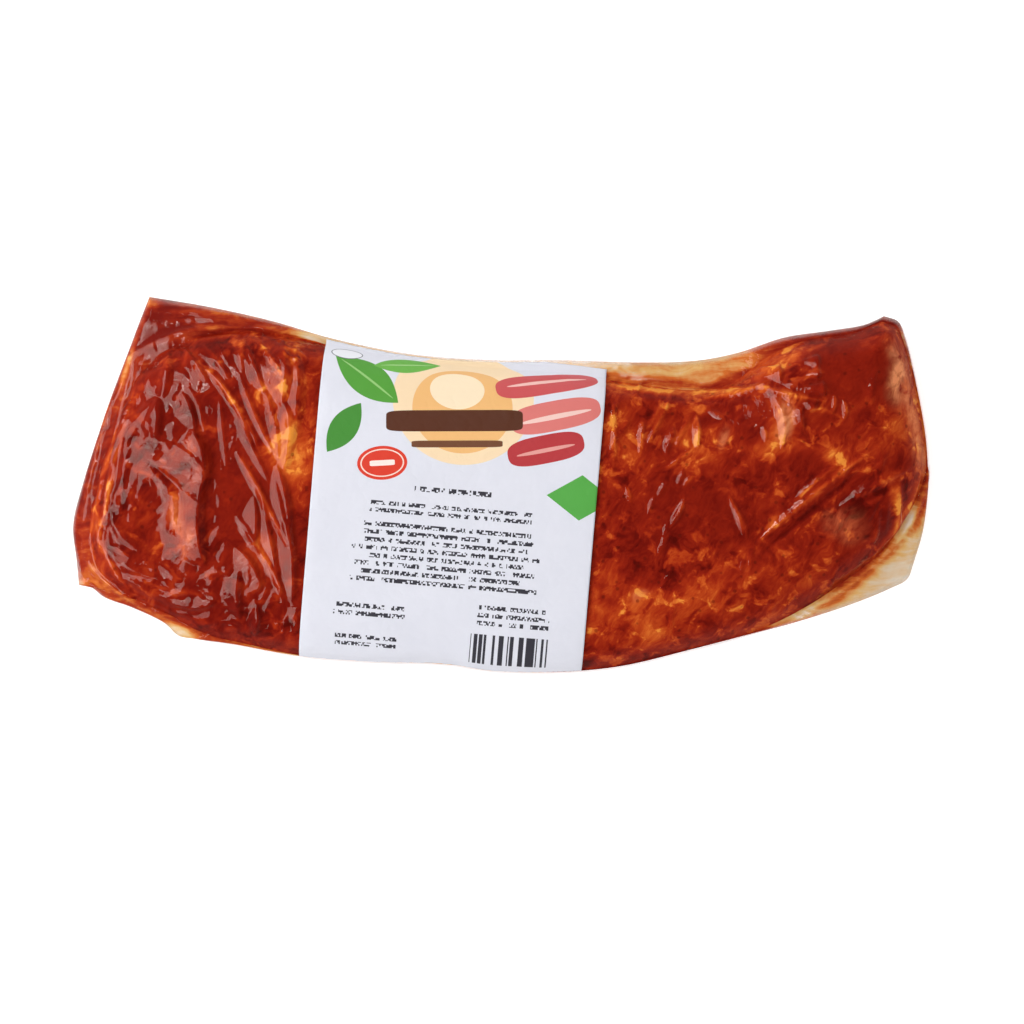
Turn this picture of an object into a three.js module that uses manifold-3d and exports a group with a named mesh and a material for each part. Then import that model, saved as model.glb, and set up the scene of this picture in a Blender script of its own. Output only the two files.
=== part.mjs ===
// A rack of marinated pork ribs, vacuum sealed in a clear bag and lying flat with its label up.
// Millimetres, +X along the rack, +Y towards its hollow side, +Z up from the table it lies on.
// The bag and what it is shrunk onto are one solid; the label is a sheet of its own over the top.
import * as THREE from "three";
import { mergeVertices } from "three/addons/utils/BufferGeometryUtils.js";
import Module from "manifold-3d";

// Driving dimensions
const MEAT_HEIGHT = 31.5; // top of the rack over the table
const SEAM_HEIGHT = 11; // where the bag's two films meet round the rack
const FILM_PAIR = 1.6; // the two films with the marinade caught between them
const CORNER_POOL = 1.6; // further marinade in the bag's loose upper left corner
const BASE_ROUND = 14; // how far in from its edge the rack touches the table
const SEAM_DROOP = 0.3; // fall of the loose film for each millimetre that it stands out
const LABEL_GAP = 0.35;
const LABEL_THICKNESS = 0.65;
const LABEL_INSET = 1.2; // the label ends this far inside the bag's own outline

// Mesh fineness
const CELLS_LONG = 60; // along each long side
const CELLS_SHORT = 16; // along each end
const SEAM_RINGS = 3; // across the loose film
const BODY_RINGS = 8; // from the rack's edge in to its middle field
const BASE_RINGS = 4;
const FLAT_START = 1.15; // the flat begins this many edge roundings in, as the rings cross it aslant
const RING_CROWDING = 1.7; // above 1 gathers the rings at the edge, where the meat curves most
const FIELD = { ends: 0.09, sides: 0.25 }; // how much of the rack lies outside its middle field

// The bag's outline, one run of points for each side, each from the last one's end
const BAG_SIDES = {
  top: [
    [-156.5, 83.5], [-131, 79], [-102, 72.5], [-74.5, 64.5], [-39, 57.5], [-4, 55], [26.5, 55],
    [62, 54], [88.5, 55], [106, 58.5], [126, 65], [146, 68], [160.5, 70.5], [170, 74.5],
  ],
  right: [
    [170, 74.5], [176.5, 72], [180, 64], [185, 43.5], [189, 20.5], [190, 2], [188, -19.5], [183.5, -36],
  ],
  bottom: [
    [183.5, -36], [181, -42.5], [172.5, -47], [150.5, -55.5], [120.5, -64.5], [85, -74], [53, -81.5],
    [26.5, -84], [-4, -83.5], [-24.5, -80.5], [-57, -79.5], [-89, -77], [-119, -71.5], [-135, -69],
    [-143, -67.5], [-149, -62], [-163.5, -55], [-176, -50.5], [-182, -46], [-187.5, -45],
  ],
  left: [[-187.5, -45], [-188.5, -33.5], [-190, -18.5], [-185.5, 0], [-176.5, 28.5], [-156.5, 83.5]],
};

// The edge of the rack itself, inside the bag
const RACK_SIDES = {
  top: [
    [-152, 57], [-133, 65], [-113.5, 68], [-93.5, 65.5], [-75.5, 61.5], [-39, 55], [-4, 51],
    [31.5, 49.5], [62, 47], [88.5, 43.5], [104, 47.5], [118.5, 56.5], [133, 63], [156, 67], [169, 72],
  ],
  right: [
    [169, 72], [175.5, 69.5], [179, 62], [184, 42], [187.5, 20.5], [188.5, 6.5], [184, -7], [177, -19.5],
  ],
  bottom: [
    [177, -19.5], [168.5, -30.5], [153, -43], [133, -56], [115, -64.5], [85, -73], [49.5, -81],
    [24.5, -83], [-4, -82.5], [-24.5, -79.5], [-57, -78.5], [-89, -76], [-115.5, -70.5],
    [-131, -66.5], [-149, -57], [-166.5, -49],
  ],
  left: [
    [-166.5, -49], [-177.5, -39.5], [-181.5, -27], [-181.5, -13.5], [-177.5, 3], [-170, 24],
    [-161.5, 44], [-152, 57],
  ],
};

const LABEL_CORNERS = [[-77, 65.5], [47, 50.5], [35.5, -86], [-89.5, -80]];

// Swells and hollows of the meat under the film: centre, half widths, turn in degrees and rise
const SWELLS = [
  { x: -118, y: -2, along: 9, across: 42, turn: -8, rise: -2.2 },
  { x: -96, y: 12, along: 8, across: 38, turn: -12, rise: 1.6 },
  { x: -146, y: 16, along: 13, across: 9, turn: -35, rise: 1.8 },
  { x: -155, y: -14, along: 9, across: 11, turn: 20, rise: -2.4 },
  { x: -139, y: -22, along: 7, across: 16, turn: 4, rise: 1.5 },
  { x: -150, y: -47, along: 26, across: 4.5, turn: -14, rise: 1.7 },
  { x: -122, y: -50, along: 22, across: 5, turn: -6, rise: -1.5 },
  { x: -132, y: 45, along: 20, across: 6, turn: 20, rise: -1.6 },
  { x: -20, y: -10, along: 60, across: 45, turn: 0, rise: -1.2 },
  { x: 78, y: 28, along: 30, across: 14, turn: 8, rise: -2.6 },
  { x: 128, y: 30, along: 20, across: 22, turn: 0, rise: 1.6 },
  { x: 82, y: -18, along: 26, across: 15, turn: 10, rise: 1.4 },
  { x: 150, y: -8, along: 22, across: 6, turn: 44, rise: -1.8 },
  { x: 108, y: -44, along: 34, across: 8, turn: 14, rise: 1.1 },
];

// 0 at one value and 1 at the other, whichever of the two is the larger.
function smooth(zeroAt, oneAt, value) {
  const share = THREE.MathUtils.clamp((value - zeroAt) / (oneAt - zeroAt), 0, 1);
  return share * share * (3 - 2 * share);
}

// A side's points as a smooth curve, cut into equal steps; the last point belongs to the next side.
function sideSteps(points, steps) {
  const curve = new THREE.CatmullRomCurve3(
    points.map(([x, y]) => new THREE.Vector3(x, y, 0)),
    false,
    "centripetal",
  );
  curve.arcLengthDivisions = 600;
  return curve.getSpacedPoints(steps).slice(0, steps);
}

// A closed outline, clockwise from the upper left corner.
function outline(sides) {
  return [
    ...sideSteps(sides.top, CELLS_LONG),
    ...sideSteps(sides.right, CELLS_SHORT),
    ...sideSteps(sides.bottom, CELLS_LONG),
    ...sideSteps(sides.left, CELLS_SHORT),
  ];
}

const bagEdge = outline(BAG_SIDES);
const rackEdge = outline(RACK_SIDES);
const around = bagEdge.length;

// The shortest way from a point to the rack's edge.
function edgeDistance(point) {
  const nearest = new THREE.Vector3();
  let least = Infinity;
  for (let i = 0; i < around; i++) {
    const edge = new THREE.Line3(rackEdge[i], rackEdge[(i + 1) % around]);
    edge.closestPointToPoint(point, true, nearest);
    least = Math.min(least, nearest.distanceTo(point));
  }
  return least;
}

// Height of the loose film's middle, which falls away from the rack and ripples a little.
function filmLevel(point, outside) {
  const ripple = 0.5 * Math.sin(point.x * 0.16 + point.y * 0.11) * smooth(2, 8, outside);
  return SEAM_HEIGHT - SEAM_DROOP * outside + ripple;
}

function poolDepth(point, outside) {
  const corner = smooth(-95, -135, point.x) * smooth(35, 60, point.y);
  return CORNER_POOL * corner * smooth(0, 5, outside);
}

// One swell is a bell over an ellipse.
function swellRise(swell, x, y) {
  const turn = THREE.MathUtils.degToRad(swell.turn);
  const dx = x - swell.x;
  const dy = y - swell.y;
  const a = (dx * Math.cos(turn) + dy * Math.sin(turn)) / swell.along;
  const b = (dy * Math.cos(turn) - dx * Math.sin(turn)) / swell.across;
  return swell.rise * Math.exp(-(a * a + b * b));
}

// Top of the rack far from its edge: the left end lies lower, and the hollow side is the thicker one.
function meatLevel(x, y) {
  const leftEnd = -3.2 * smooth(-90, -115, x);
  const thinSide = -4.5 * smooth(15, -60, y);
  return MEAT_HEIGHT + leftEnd + thinSide;
}

// The rack's top: a rounded edge that is steep on the long sides and a long slope at the left end.
function rackTop(point, inside) {
  const leftEnd = smooth(-112, -150, point.x);
  const round = THREE.MathUtils.lerp(21, 46, leftEnd);
  const fullness = THREE.MathUtils.lerp(2.3, 1.75, leftEnd);
  const left = 1 - Math.min(inside / round, 1);
  const share = Math.pow(1 - Math.pow(left, fullness), 1 / fullness);
  const foot = SEAM_HEIGHT + FILM_PAIR / 2;
  const swells = SWELLS.reduce((sum, s) => sum + swellRise(s, point.x, point.y), 0);
  return foot + (meatLevel(point.x, point.y) - foot) * share + swells * smooth(2, 14, inside);
}

// The rack's underside: rounded up to the seam at its edge and flat on the table inside that.
function rackBase(inside) {
  const left = 1 - Math.min(inside / BASE_ROUND, 1);
  return (SEAM_HEIGHT - FILM_PAIR / 2) * (1 - Math.sqrt(1 - left * left));
}

// A point of the middle field, ruled between the rack's two long sides.
function fieldPoint(u, v) {
  const along = FIELD.ends + (1 - 2 * FIELD.ends) * u;
  const across = FIELD.sides + (1 - 2 * FIELD.sides) * v;
  const at = Math.min(along * CELLS_LONG, CELLS_LONG - 1e-6);
  const step = Math.floor(at);
  const over = (index) => rackEdge[(index + around) % around];
  const upper = over(step).clone().lerp(over(step + 1), at - step);
  const lowStart = 2 * CELLS_LONG + CELLS_SHORT - step;
  const lower = over(lowStart).clone().lerp(over(lowStart - 1), at - step);
  return upper.lerp(lower, across);
}

// Where step k round the outline lies on the middle field's border.
function fieldBorder(k) {
  const corners = [CELLS_LONG, CELLS_LONG + CELLS_SHORT, 2 * CELLS_LONG + CELLS_SHORT];
  if (k < corners[0]) return [k, 0];
  if (k < corners[1]) return [CELLS_LONG, k - corners[0]];
  if (k < corners[2]) return [corners[2] - k, CELLS_SHORT];
  return [0, around - k];
}

// The vacuum pack as vertices and triangles; its first topVertices vertices are those of the top.
function packShape() {
  const vertices = [];
  const triangles = [];
  const add = (x, y, z) => vertices.push(new THREE.Vector3(x, y, z)) - 1;
  const quad = (a, b, c, d) => triangles.push([a, b, c], [a, c, d]);
  const field = (i, j) => fieldPoint(i / CELLS_LONG, j / CELLS_SHORT);
  const ring = (make) => Array.from({ length: around }, (_, k) => make(k));
  const band = (outer, inner) =>
    outer.forEach((_, k) => {
      const next = (k + 1) % around;
      quad(outer[k], inner[k], inner[next], outer[next]);
    });

  // Rings of the loose film, seen from above and from below
  const filmRing = (share, side) =>
    ring((k) => {
      const at = bagEdge[k].clone().lerp(rackEdge[k], share);
      const outside = edgeDistance(at);
      const half = FILM_PAIR / 2 + (side > 0 ? poolDepth(at, outside) * share : 0);
      return add(at.x, at.y, filmLevel(at, outside) + side * half);
    });
  const bodyRing = (share, height) =>
    ring((k) => {
      const at = rackEdge[k].clone().lerp(field(...fieldBorder(k)), share);
      return add(at.x, at.y, height(at, edgeDistance(at)));
    });

  const topRings = [];
  for (let i = 0; i <= SEAM_RINGS; i++) topRings.push(filmRing(i / SEAM_RINGS, 1));
  for (let i = 1; i < BODY_RINGS; i++)
    topRings.push(bodyRing(Math.pow(i / BODY_RINGS, RING_CROWDING), rackTop));

  // Middle field of the top, whose border closes the last ring
  const grid = [];
  for (let i = 0; i <= CELLS_LONG; i++) {
    grid.push([]);
    for (let j = 0; j <= CELLS_SHORT; j++) {
      const at = field(i, j);
      grid[i].push(add(at.x, at.y, rackTop(at, edgeDistance(at))));
    }
  }
  topRings.push(ring((k) => grid[fieldBorder(k)[0]][fieldBorder(k)[1]]));
  for (let i = 0; i < CELLS_LONG; i++)
    for (let j = 0; j < CELLS_SHORT; j++)
      quad(grid[i][j], grid[i][j + 1], grid[i + 1][j + 1], grid[i + 1][j]);
  topRings.slice(1).forEach((inner, i) => band(topRings[i], inner));
  const topVertices = vertices.length;

  // Underside: loose film, rounded edge, and the flat that lies on the table
  const baseRings = [];
  for (let i = 0; i <= SEAM_RINGS; i++) baseRings.push(filmRing(i / SEAM_RINGS, -1));
  for (let i = 1; i <= BASE_RINGS; i++)
    baseRings.push(ring((k) => {
      const middle = field(...fieldBorder(k));
      const reach = (FLAT_START * BASE_ROUND) / rackEdge[k].distanceTo(middle);
      const at = rackEdge[k].clone().lerp(middle, reach * Math.pow(i / BASE_RINGS, RING_CROWDING));
      const height = i === BASE_RINGS ? 0 : rackBase(edgeDistance(at));
      return add(at.x, at.y, height);
    }));
  baseRings.slice(1).forEach((inner, i) => band(inner, baseRings[i]));
  band(baseRings[0], topRings[0]);
  const flat = baseRings[BASE_RINGS + SEAM_RINGS];
  const flatOutline = flat.map((index) => new THREE.Vector2(vertices[index].x, vertices[index].y));
  for (const [a, b, c] of THREE.ShapeUtils.triangulateShape(flatOutline, [])) {
    const ab = flatOutline[b].clone().sub(flatOutline[a]);
    const ac = flatOutline[c].clone().sub(flatOutline[a]);
    triangles.push(ab.cross(ac) > 0 ? [flat[a], flat[c], flat[b]] : [flat[a], flat[b], flat[c]]);
  }
  return { vertices, triangles, topVertices };
}

function geometryOf(vertices, triangles) {
  const geometry = new THREE.BufferGeometry();
  const numbers = vertices.flatMap((v) => [v.x, v.y, v.z]);
  geometry.setAttribute("position", new THREE.Float32BufferAttribute(numbers, 3));
  geometry.setIndex(triangles.flat());
  return geometry;
}

// The pack with its top pushed out along its normals, for the label's two faces.
function packGrownBy(shape, distance) {
  const plain = geometryOf(shape.vertices, shape.triangles);
  plain.computeVertexNormals();
  const normal = new THREE.Vector3();
  const moved = shape.vertices.map((vertex, i) => {
    if (i < around || i >= shape.topVertices) return vertex;
    normal.fromBufferAttribute(plain.getAttribute("normal"), i);
    return vertex.clone().addScaledVector(normal, distance);
  });
  return geometryOf(moved, shape.triangles);
}

const library = await Module();
library.setup();

function solidOf(geometry) {
  const bare = geometry.clone();
  bare.deleteAttribute("normal");
  bare.deleteAttribute("uv");
  const merged = mergeVertices(bare, 1e-4);
  return new library.Manifold(
    new library.Mesh({
      numProp: 3,
      vertProperties: new Float32Array(merged.getAttribute("position").array),
      triVerts: new Uint32Array(merged.index.array),
    }),
  );
}

function geometryFrom(solid) {
  const mesh = solid.getMesh();
  const corners = [];
  for (let i = 0; i < mesh.numVert; i++)
    corners.push(...mesh.vertProperties.subarray(i * mesh.numProp, i * mesh.numProp + 3));
  const geometry = new THREE.BufferGeometry();
  geometry.setAttribute("position", new THREE.Float32BufferAttribute(corners, 3));
  geometry.setIndex(Array.from(mesh.triVerts));
  return geometry;
}

function uprightPrism(points, low, high) {
  const shape = new THREE.Shape(points);
  const geometry = new THREE.ExtrudeGeometry(shape, { depth: high - low, bevelEnabled: false });
  return solidOf(geometry.translate(0, 0, low));
}

// The label: what its four edges cut out of a thin shell over the pack's top.
function labelGeometry(shape) {
  const corners = LABEL_CORNERS.map(([x, y]) => new THREE.Vector2(x, y));
  const inside = bagEdge.map((point, k) => {
    const before = bagEdge[(k + around - 1) % around];
    const after = bagEdge[(k + 1) % around];
    const inward = new THREE.Vector2(after.y - before.y, before.x - after.x).normalize();
    return new THREE.Vector2(point.x, point.y).addScaledVector(inward, LABEL_INSET);
  });
  const low = SEAM_HEIGHT - 4;
  const high = MEAT_HEIGHT + 10;
  const cutter = uprightPrism(corners, low, high).intersect(uprightPrism(inside, low, high));
  const outer = solidOf(packGrownBy(shape, LABEL_GAP + LABEL_THICKNESS));
  const inner = solidOf(packGrownBy(shape, LABEL_GAP));
  const sheets = outer.intersect(cutter).subtract(inner).decompose();
  return geometryFrom(sheets.sort((a, b) => b.volume() - a.volume())[0]);
}

const marinatedMeat = new THREE.MeshStandardMaterial({ color: 0x96301c, roughness: 0.25, metalness: 0 });
const whiteLabel = new THREE.MeshStandardMaterial({ color: 0xe0e0e8, roughness: 0.4, metalness: 0 });

const shape = packShape();
const vacuumPack = new THREE.Mesh(geometryOf(shape.vertices, shape.triangles), marinatedMeat);
vacuumPack.name = "vacuum_pack";
const label = new THREE.Mesh(labelGeometry(shape), whiteLabel);
label.name = "label";

const pack = new THREE.Group();
pack.name = "pork_ribs_pack";
pack.add(vacuumPack, label);

// The frame's origin is under the middle of the pack, on the table.
const extent = new THREE.Box3().setFromObject(pack);
const middle = extent.getCenter(new THREE.Vector3());
for (const mesh of [vacuumPack, label]) mesh.position.set(-middle.x, -middle.y, -extent.min.z);

export default pack;
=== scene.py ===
import math

import bpy
import numpy as np
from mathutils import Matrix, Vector


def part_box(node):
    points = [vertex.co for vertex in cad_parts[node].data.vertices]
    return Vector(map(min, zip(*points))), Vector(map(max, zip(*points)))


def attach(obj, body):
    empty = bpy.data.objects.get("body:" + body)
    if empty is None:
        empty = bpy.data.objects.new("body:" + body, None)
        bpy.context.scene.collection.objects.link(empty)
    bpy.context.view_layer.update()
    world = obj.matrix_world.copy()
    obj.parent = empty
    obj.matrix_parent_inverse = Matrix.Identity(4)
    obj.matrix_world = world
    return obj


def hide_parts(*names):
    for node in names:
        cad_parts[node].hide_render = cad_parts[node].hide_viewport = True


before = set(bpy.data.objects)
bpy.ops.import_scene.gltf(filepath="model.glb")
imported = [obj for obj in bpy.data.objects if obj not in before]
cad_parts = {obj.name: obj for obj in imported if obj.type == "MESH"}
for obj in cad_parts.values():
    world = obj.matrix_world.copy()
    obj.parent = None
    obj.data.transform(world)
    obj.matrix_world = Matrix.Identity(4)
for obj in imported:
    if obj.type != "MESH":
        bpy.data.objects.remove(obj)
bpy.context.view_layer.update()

# The meat: one slab of ribs with its bones down, rubbed with a red, oily marinade. The bag is shrunk
# onto it, so its form is worked out first, and film and label follow the same surface. The meat takes
# the print of the film's creases, and its colour is marinade in pools, thin over orange fat elsewhere.
MM = 0.001
MEAT_HEIGHT, SEAM_HEIGHT = 31.5, 11
BASE_ROUND = 14
FILM_PAIR, SEAL_GAP = 1.6, 0.08  # between the two films: round the rack, and at the seal
# The meat's rounded edge, and how far its top falls to the left end and to the near side
EDGE_RADIUS, LEFT_ROUNDING, EDGE_FULLNESS = 25, 4, 1.9
FILLET = 3
LEFT_FALL, NEAR_FALL = 2.2, 4.5
# The loose film: its droop outwards, its tent up to the rack, and the pool in its upper left corner
SEAM_DROOP = 0.3
TENT_REACH, TENT_RISE, LEFT_TENT_RISE = 11, 1, 2.2
CORNER_POOL = 1.6

# The outlines of the bag and of the rack as points that curves join, and the label's corners
BAG_SIDES = {
    "top": [
        (-156.5, 83.5), (-131, 79), (-102, 72.5), (-74.5, 64.5), (-39, 57.5), (-4, 55), (26.5, 55),
        (62, 54), (88.5, 55), (106, 58.5), (126, 65), (146, 68), (160.5, 70.5), (170, 74.5),
    ],
    "right": [
        (170, 74.5), (176.5, 72), (180, 64), (185, 43.5), (189, 20.5), (190, 2), (188, -19.5),
        (183.5, -36),
    ],
    "bottom": [
        (183.5, -36), (181, -42.5), (172.5, -47), (150.5, -55.5), (120.5, -64.5), (85, -74),
        (53, -81.5), (26.5, -84), (-4, -83.5), (-24.5, -80.5), (-57, -79.5), (-89, -77), (-119, -71.5),
        (-135, -69), (-143, -67.5), (-149, -62), (-163.5, -55), (-176, -50.5), (-182, -46),
        (-187.5, -45),
    ],
    "left": [(-187.5, -45), (-188.5, -33.5), (-190, -18.5), (-185.5, 0), (-176.5, 28.5), (-156.5, 83.5)],
}
RACK_SIDES = {
    "top": [
        (-152, 57), (-133, 65), (-113.5, 68), (-93.5, 65.5), (-75.5, 61.5), (-39, 55), (-4, 51),
        (31.5, 48.5), (62, 44), (88.5, 41.5), (104, 46), (118.5, 56.5), (133, 63), (156, 67),
        (169, 72),
    ],
    "right": [
        (169, 72), (175.5, 69.5), (179, 62), (184, 42), (187.5, 20.5), (188.5, 6.5), (184, -7),
        (177, -19.5),
    ],
    "bottom": [
        (177, -19.5), (168.5, -30.5), (153, -43), (133, -56), (115, -64.5), (85, -73), (49.5, -81),
        (24.5, -83), (-4, -82.5), (-24.5, -79.5), (-57, -78.5), (-89, -76), (-115.5, -70.5),
        (-131, -66.5), (-149, -57), (-166.5, -49),
    ],
    "left": [
        (-166.5, -49), (-177.5, -39.5), (-181.5, -27), (-181.5, -13.5), (-177.5, 3), (-170, 24),
        (-161.5, 44), (-152, 57),
    ],
}
LABEL_CORNERS = np.array([(-77, 65.5), (47, 50.5), (35.5, -86), (-89.5, -80)])

# Cells of the meshes along each long side and each end, rings round them, and the shares of the length
# and of the width that lie outside the middle field on either side of it
LONG, END = 360, 124
AROUND = 2 * (LONG + END)
LOOSE_RINGS, BODY_RINGS = 14, 36
RING_CROWDING = 1.6
FIELD_ENDS, FIELD_SIDES = 0.08, 0.2
# The range of the long sides that the label hides, and the share of the cells that is kept there
HIDDEN_FROM, HIDDEN_TO, HIDDEN_FADE, HIDDEN_SHARE = 0.27, 0.6, 0.03, 0.25


def smooth(zero_at, one_at, value):
    """0 at one value and 1 at the other, by 3t^2 - 2t^3 between."""
    t = np.clip((value - zero_at) / (one_at - zero_at), 0, 1)
    return t * t * (3 - 2 * t)


def side_curve(points, shares):
    """Cubic pieces through the points (a centripetal Catmull-Rom spline), read at shares of its length.

    Each piece is (2t^3-3t^2+1) p + (t^3-2t^2+t) m + (3t^2-2t^3) q + (t^3-t^2) n, where the slopes m and
    n weigh the chords on both sides by the square roots of their lengths.
    """
    p = np.array(points, float)
    p = np.vstack([2 * p[0] - p[1], p, 2 * p[-1] - p[-2]])
    chord = np.sqrt(np.linalg.norm(np.diff(p, axis=0), axis=1))[:, None]
    before, here, after = chord[:-2], chord[1:-1], chord[2:]
    p0, p1, p2, p3 = p[:-3], p[1:-2], p[2:-1], p[3:]
    m = here * ((p1 - p0) / before - (p2 - p0) / (before + here) + (p2 - p1) / here)
    n = here * ((p2 - p1) / here - (p3 - p1) / (here + after) + (p3 - p2) / after)
    t = np.linspace(0, 1, 40, endpoint=False)[None, :, None]
    line = (
        (2 * t**3 - 3 * t**2 + 1) * p1[:, None]
        + (t**3 - 2 * t**2 + t) * m[:, None]
        + (3 * t**2 - 2 * t**3) * p2[:, None]
        + (t**3 - t**2) * n[:, None]
    )
    line = np.vstack([line.reshape(-1, 2), p[-2]])
    run = np.concatenate([[0], np.cumsum(np.linalg.norm(np.diff(line, axis=0), axis=1))])
    at = np.asarray(shares) * run[-1]
    return np.column_stack([np.interp(at, run, line[:, 0]), np.interp(at, run, line[:, 1])])


def outline(sides, long_shares, end_shares):
    """A closed outline, clockwise from the upper left corner, each side without its last point."""
    return np.vstack([
        side_curve(sides["top"], long_shares[:-1]),
        side_curve(sides["right"], end_shares[:-1]),
        side_curve(sides["bottom"], (1 - long_shares[::-1])[:-1]),
        side_curve(sides["left"], (1 - end_shares[::-1])[:-1]),
    ])


fine = np.linspace(0, 1, 4001)
hidden = smooth(HIDDEN_FROM - HIDDEN_FADE, HIDDEN_FROM, fine)
hidden *= smooth(HIDDEN_TO + HIDDEN_FADE, HIDDEN_TO, fine)
crowd = np.cumsum(1 - (1 - HIDDEN_SHARE) * hidden)
crowd = (crowd - crowd[0]) / (crowd[-1] - crowd[0])
long_shares = np.interp(np.linspace(0, 1, LONG + 1), crowd, fine)
end_shares = np.linspace(0, 1, END + 1)

# The frame puts the pack's middle at its origin, and these outlines are set there with it
drawn = outline(BAG_SIDES, long_shares, end_shares)
low, high = (np.array(corner)[:2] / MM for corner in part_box("vacuum_pack"))
shift = (low + high) / 2 - (drawn.min(0) + drawn.max(0)) / 2
bag_edge = drawn + shift
rack_edge = outline(RACK_SIDES, long_shares, end_shares) + shift
fine_edge = outline(RACK_SIDES, np.linspace(0, 1, 601), np.linspace(0, 1, 201)) + shift
LABEL_CORNERS = LABEL_CORNERS + shift


def reach_in(xy, edge):
    """How far points lie inside a closed edge drawn clockwise, in mm, and minus that outside it.

    Near the edge it is the shortest way to it. From 3 to 8 mm in it goes over to the soft distance
    (sum of h r^-6 / I)^(-1/5) over the edge's steps h, with I = 3 pi / 8, which has no hips at corners.
    """
    count, stride = len(edge), 4
    step = np.roll(edge, -1, axis=0) - edge
    coarse_run = np.linalg.norm(step, axis=1).reshape(-1, stride).sum(1)
    reach = np.empty(len(xy))
    for part in np.array_split(np.arange(len(xy)), len(xy) // 8000 + 1):
        spot = xy[part]
        square = ((spot[:, None] - edge[::stride]) ** 2).sum(-1)
        near = (stride * square.argmin(1)[:, None] + np.arange(-stride - 1, stride + 2)) % count
        away = spot[:, None] - edge[near]
        share = np.clip((away * step[near]).sum(-1) / (step[near] ** 2).sum(-1), 0, 1)
        off = away - share[..., None] * step[near]
        gap = np.linalg.norm(off, axis=-1)
        best = gap.argmin(1)
        row = np.arange(len(part))
        off, along = off[row, best], step[near[row, best]]
        exact = gap[row, best] * np.sign(along[:, 1] * off[:, 0] - along[:, 0] * off[:, 1])
        soft = ((coarse_run / np.maximum(square, 1) ** 3).sum(1) / (3 * math.pi / 8)) ** (-1 / 5)
        reach[part] = exact + (soft - exact) * smooth(3, 8, exact)
    return reach


def bell(xy, x, y, along, across, turn, power=2):
    """exp(-r^power), with r the distance from (x, y) over an ellipse's half widths, turned by degrees."""
    angle = math.radians(turn)
    dx, dy = xy[:, 0] - x - shift[0], xy[:, 1] - y - shift[1]
    a = (dx * math.cos(angle) + dy * math.sin(angle)) / along
    b = (dy * math.cos(angle) - dx * math.sin(angle)) / across
    return np.exp(-((a * a + b * b) ** (power / 2)))


# Broad swells and hollows of the meat: x, y, half widths, turn and rise
SWELLS = [
    (-152, -20, 14, 17, 8, -3.4), (-126, 12, 16, 20, 0, -0.8), (-20, -10, 60, 45, 0, -1.2),
    (78, 28, 30, 14, 8, -2.6), (128, 30, 20, 22, 0, 1.6), (82, -18, 26, 15, 10, 1.4),
    (150, -8, 22, 6, 44, -1.8), (108, -44, 34, 8, 14, 1.1),
]


def film_level(xy, reach):
    """Height of the loose film's middle: it droops in proportion outwards, with a small ripple."""
    out = np.maximum(-reach, 0)
    ripple = 0.5 * np.sin(xy[:, 0] * 0.16 + xy[:, 1] * 0.11) * smooth(2, 8, out)
    return SEAM_HEIGHT - SEAM_DROOP * out + ripple


def top_height(xy, reach, shut=1.0):
    """Height of the pack's top.

    Inside the edge it is foot + (level - foot) (1 - (1 - e/R)^n)^(1/n), a rounded step R wide, plus the
    swells. There e is d^3 / (d^2 + FILLET^2), so that the film leaves the edge in a hollow curve. Outside it
    is the loose film, drawn up to the rack as a tent over TENT_REACH, with a pool of marinade in the upper
    left corner, and shut towards the bag's seal.
    """
    x, y = xy[:, 0], xy[:, 1]
    left_end = smooth(-112, -150, x)
    radius = EDGE_RADIUS + LEFT_ROUNDING * left_end
    inside = np.maximum(reach, 0)
    eased = inside**3 / (inside**2 + FILLET**2)
    share = (1 - (1 - np.minimum(eased / radius, 1)) ** EDGE_FULLNESS) ** (1 / EDGE_FULLNESS)
    level = MEAT_HEIGHT - LEFT_FALL * smooth(-80, -150, x) - NEAR_FALL * smooth(15, -60, y)
    tent = TENT_RISE + LEFT_TENT_RISE * left_end
    foot = SEAM_HEIGHT + FILM_PAIR / 2 + tent
    swells = sum(rise * bell(xy, *place) for *place, rise in SWELLS)
    pool = CORNER_POOL * smooth(-95, -135, x) * smooth(35, 60, y) * smooth(0, 5, -reach)
    drawn_up = tent * np.clip(1 + reach / TENT_REACH, 0, 1) ** 2
    loose = film_level(xy, reach) + drawn_up + (FILM_PAIR / 2 + pool) * shut + SEAL_GAP / 2
    return np.where(reach > 0, foot + (level - foot) * share + swells * smooth(2, 14, inside), loose)


def rings_between(outer, inner, shares):
    """Rings of points at shares of the way from an outer closed line to an inner one."""
    return (outer + shares[:, None, None] * (inner - outer)).reshape(-1, 2)


def field_border(long, end):
    """Row and column on the border of a field of long by end cells of each step round the outline."""
    k = np.arange(2 * (long + end))
    row = np.clip(np.where(k < long + end, k, 2 * long + end - k), 0, long)
    column = np.clip(np.where(k < 2 * long + end, k - long, 2 * (long + end) - k), 0, end)
    return row, column


def field_points():
    """Points of the middle field, ruled between the rack's long sides: rows run along, columns across."""
    count = np.arange(LONG + 1)
    at = (FIELD_ENDS + (1 - 2 * FIELD_ENDS) * np.linspace(0, 1, LONG + 1)) * LONG
    across = (FIELD_SIDES + (1 - 2 * FIELD_SIDES) * np.linspace(0, 1, END + 1))[None, :, None]
    upper, lower = rack_edge[count], rack_edge[2 * LONG + END - count]
    upper = np.column_stack([np.interp(at, count, upper[:, axis]) for axis in (0, 1)])[:, None]
    lower = np.column_stack([np.interp(at, count, lower[:, axis]) for axis in (0, 1)])[:, None]
    return upper * (1 - across) + lower * across


def ring_quads(rings, around):
    """Quads, facing up, between each of so many rings of points and the next one in."""
    ring, at = np.mgrid[0:rings - 1, 0:around]
    here, after = ring * around + at, ring * around + (at + 1) % around
    return np.stack([here, here + around, after + around, after], -1).reshape(-1, 4)


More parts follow.
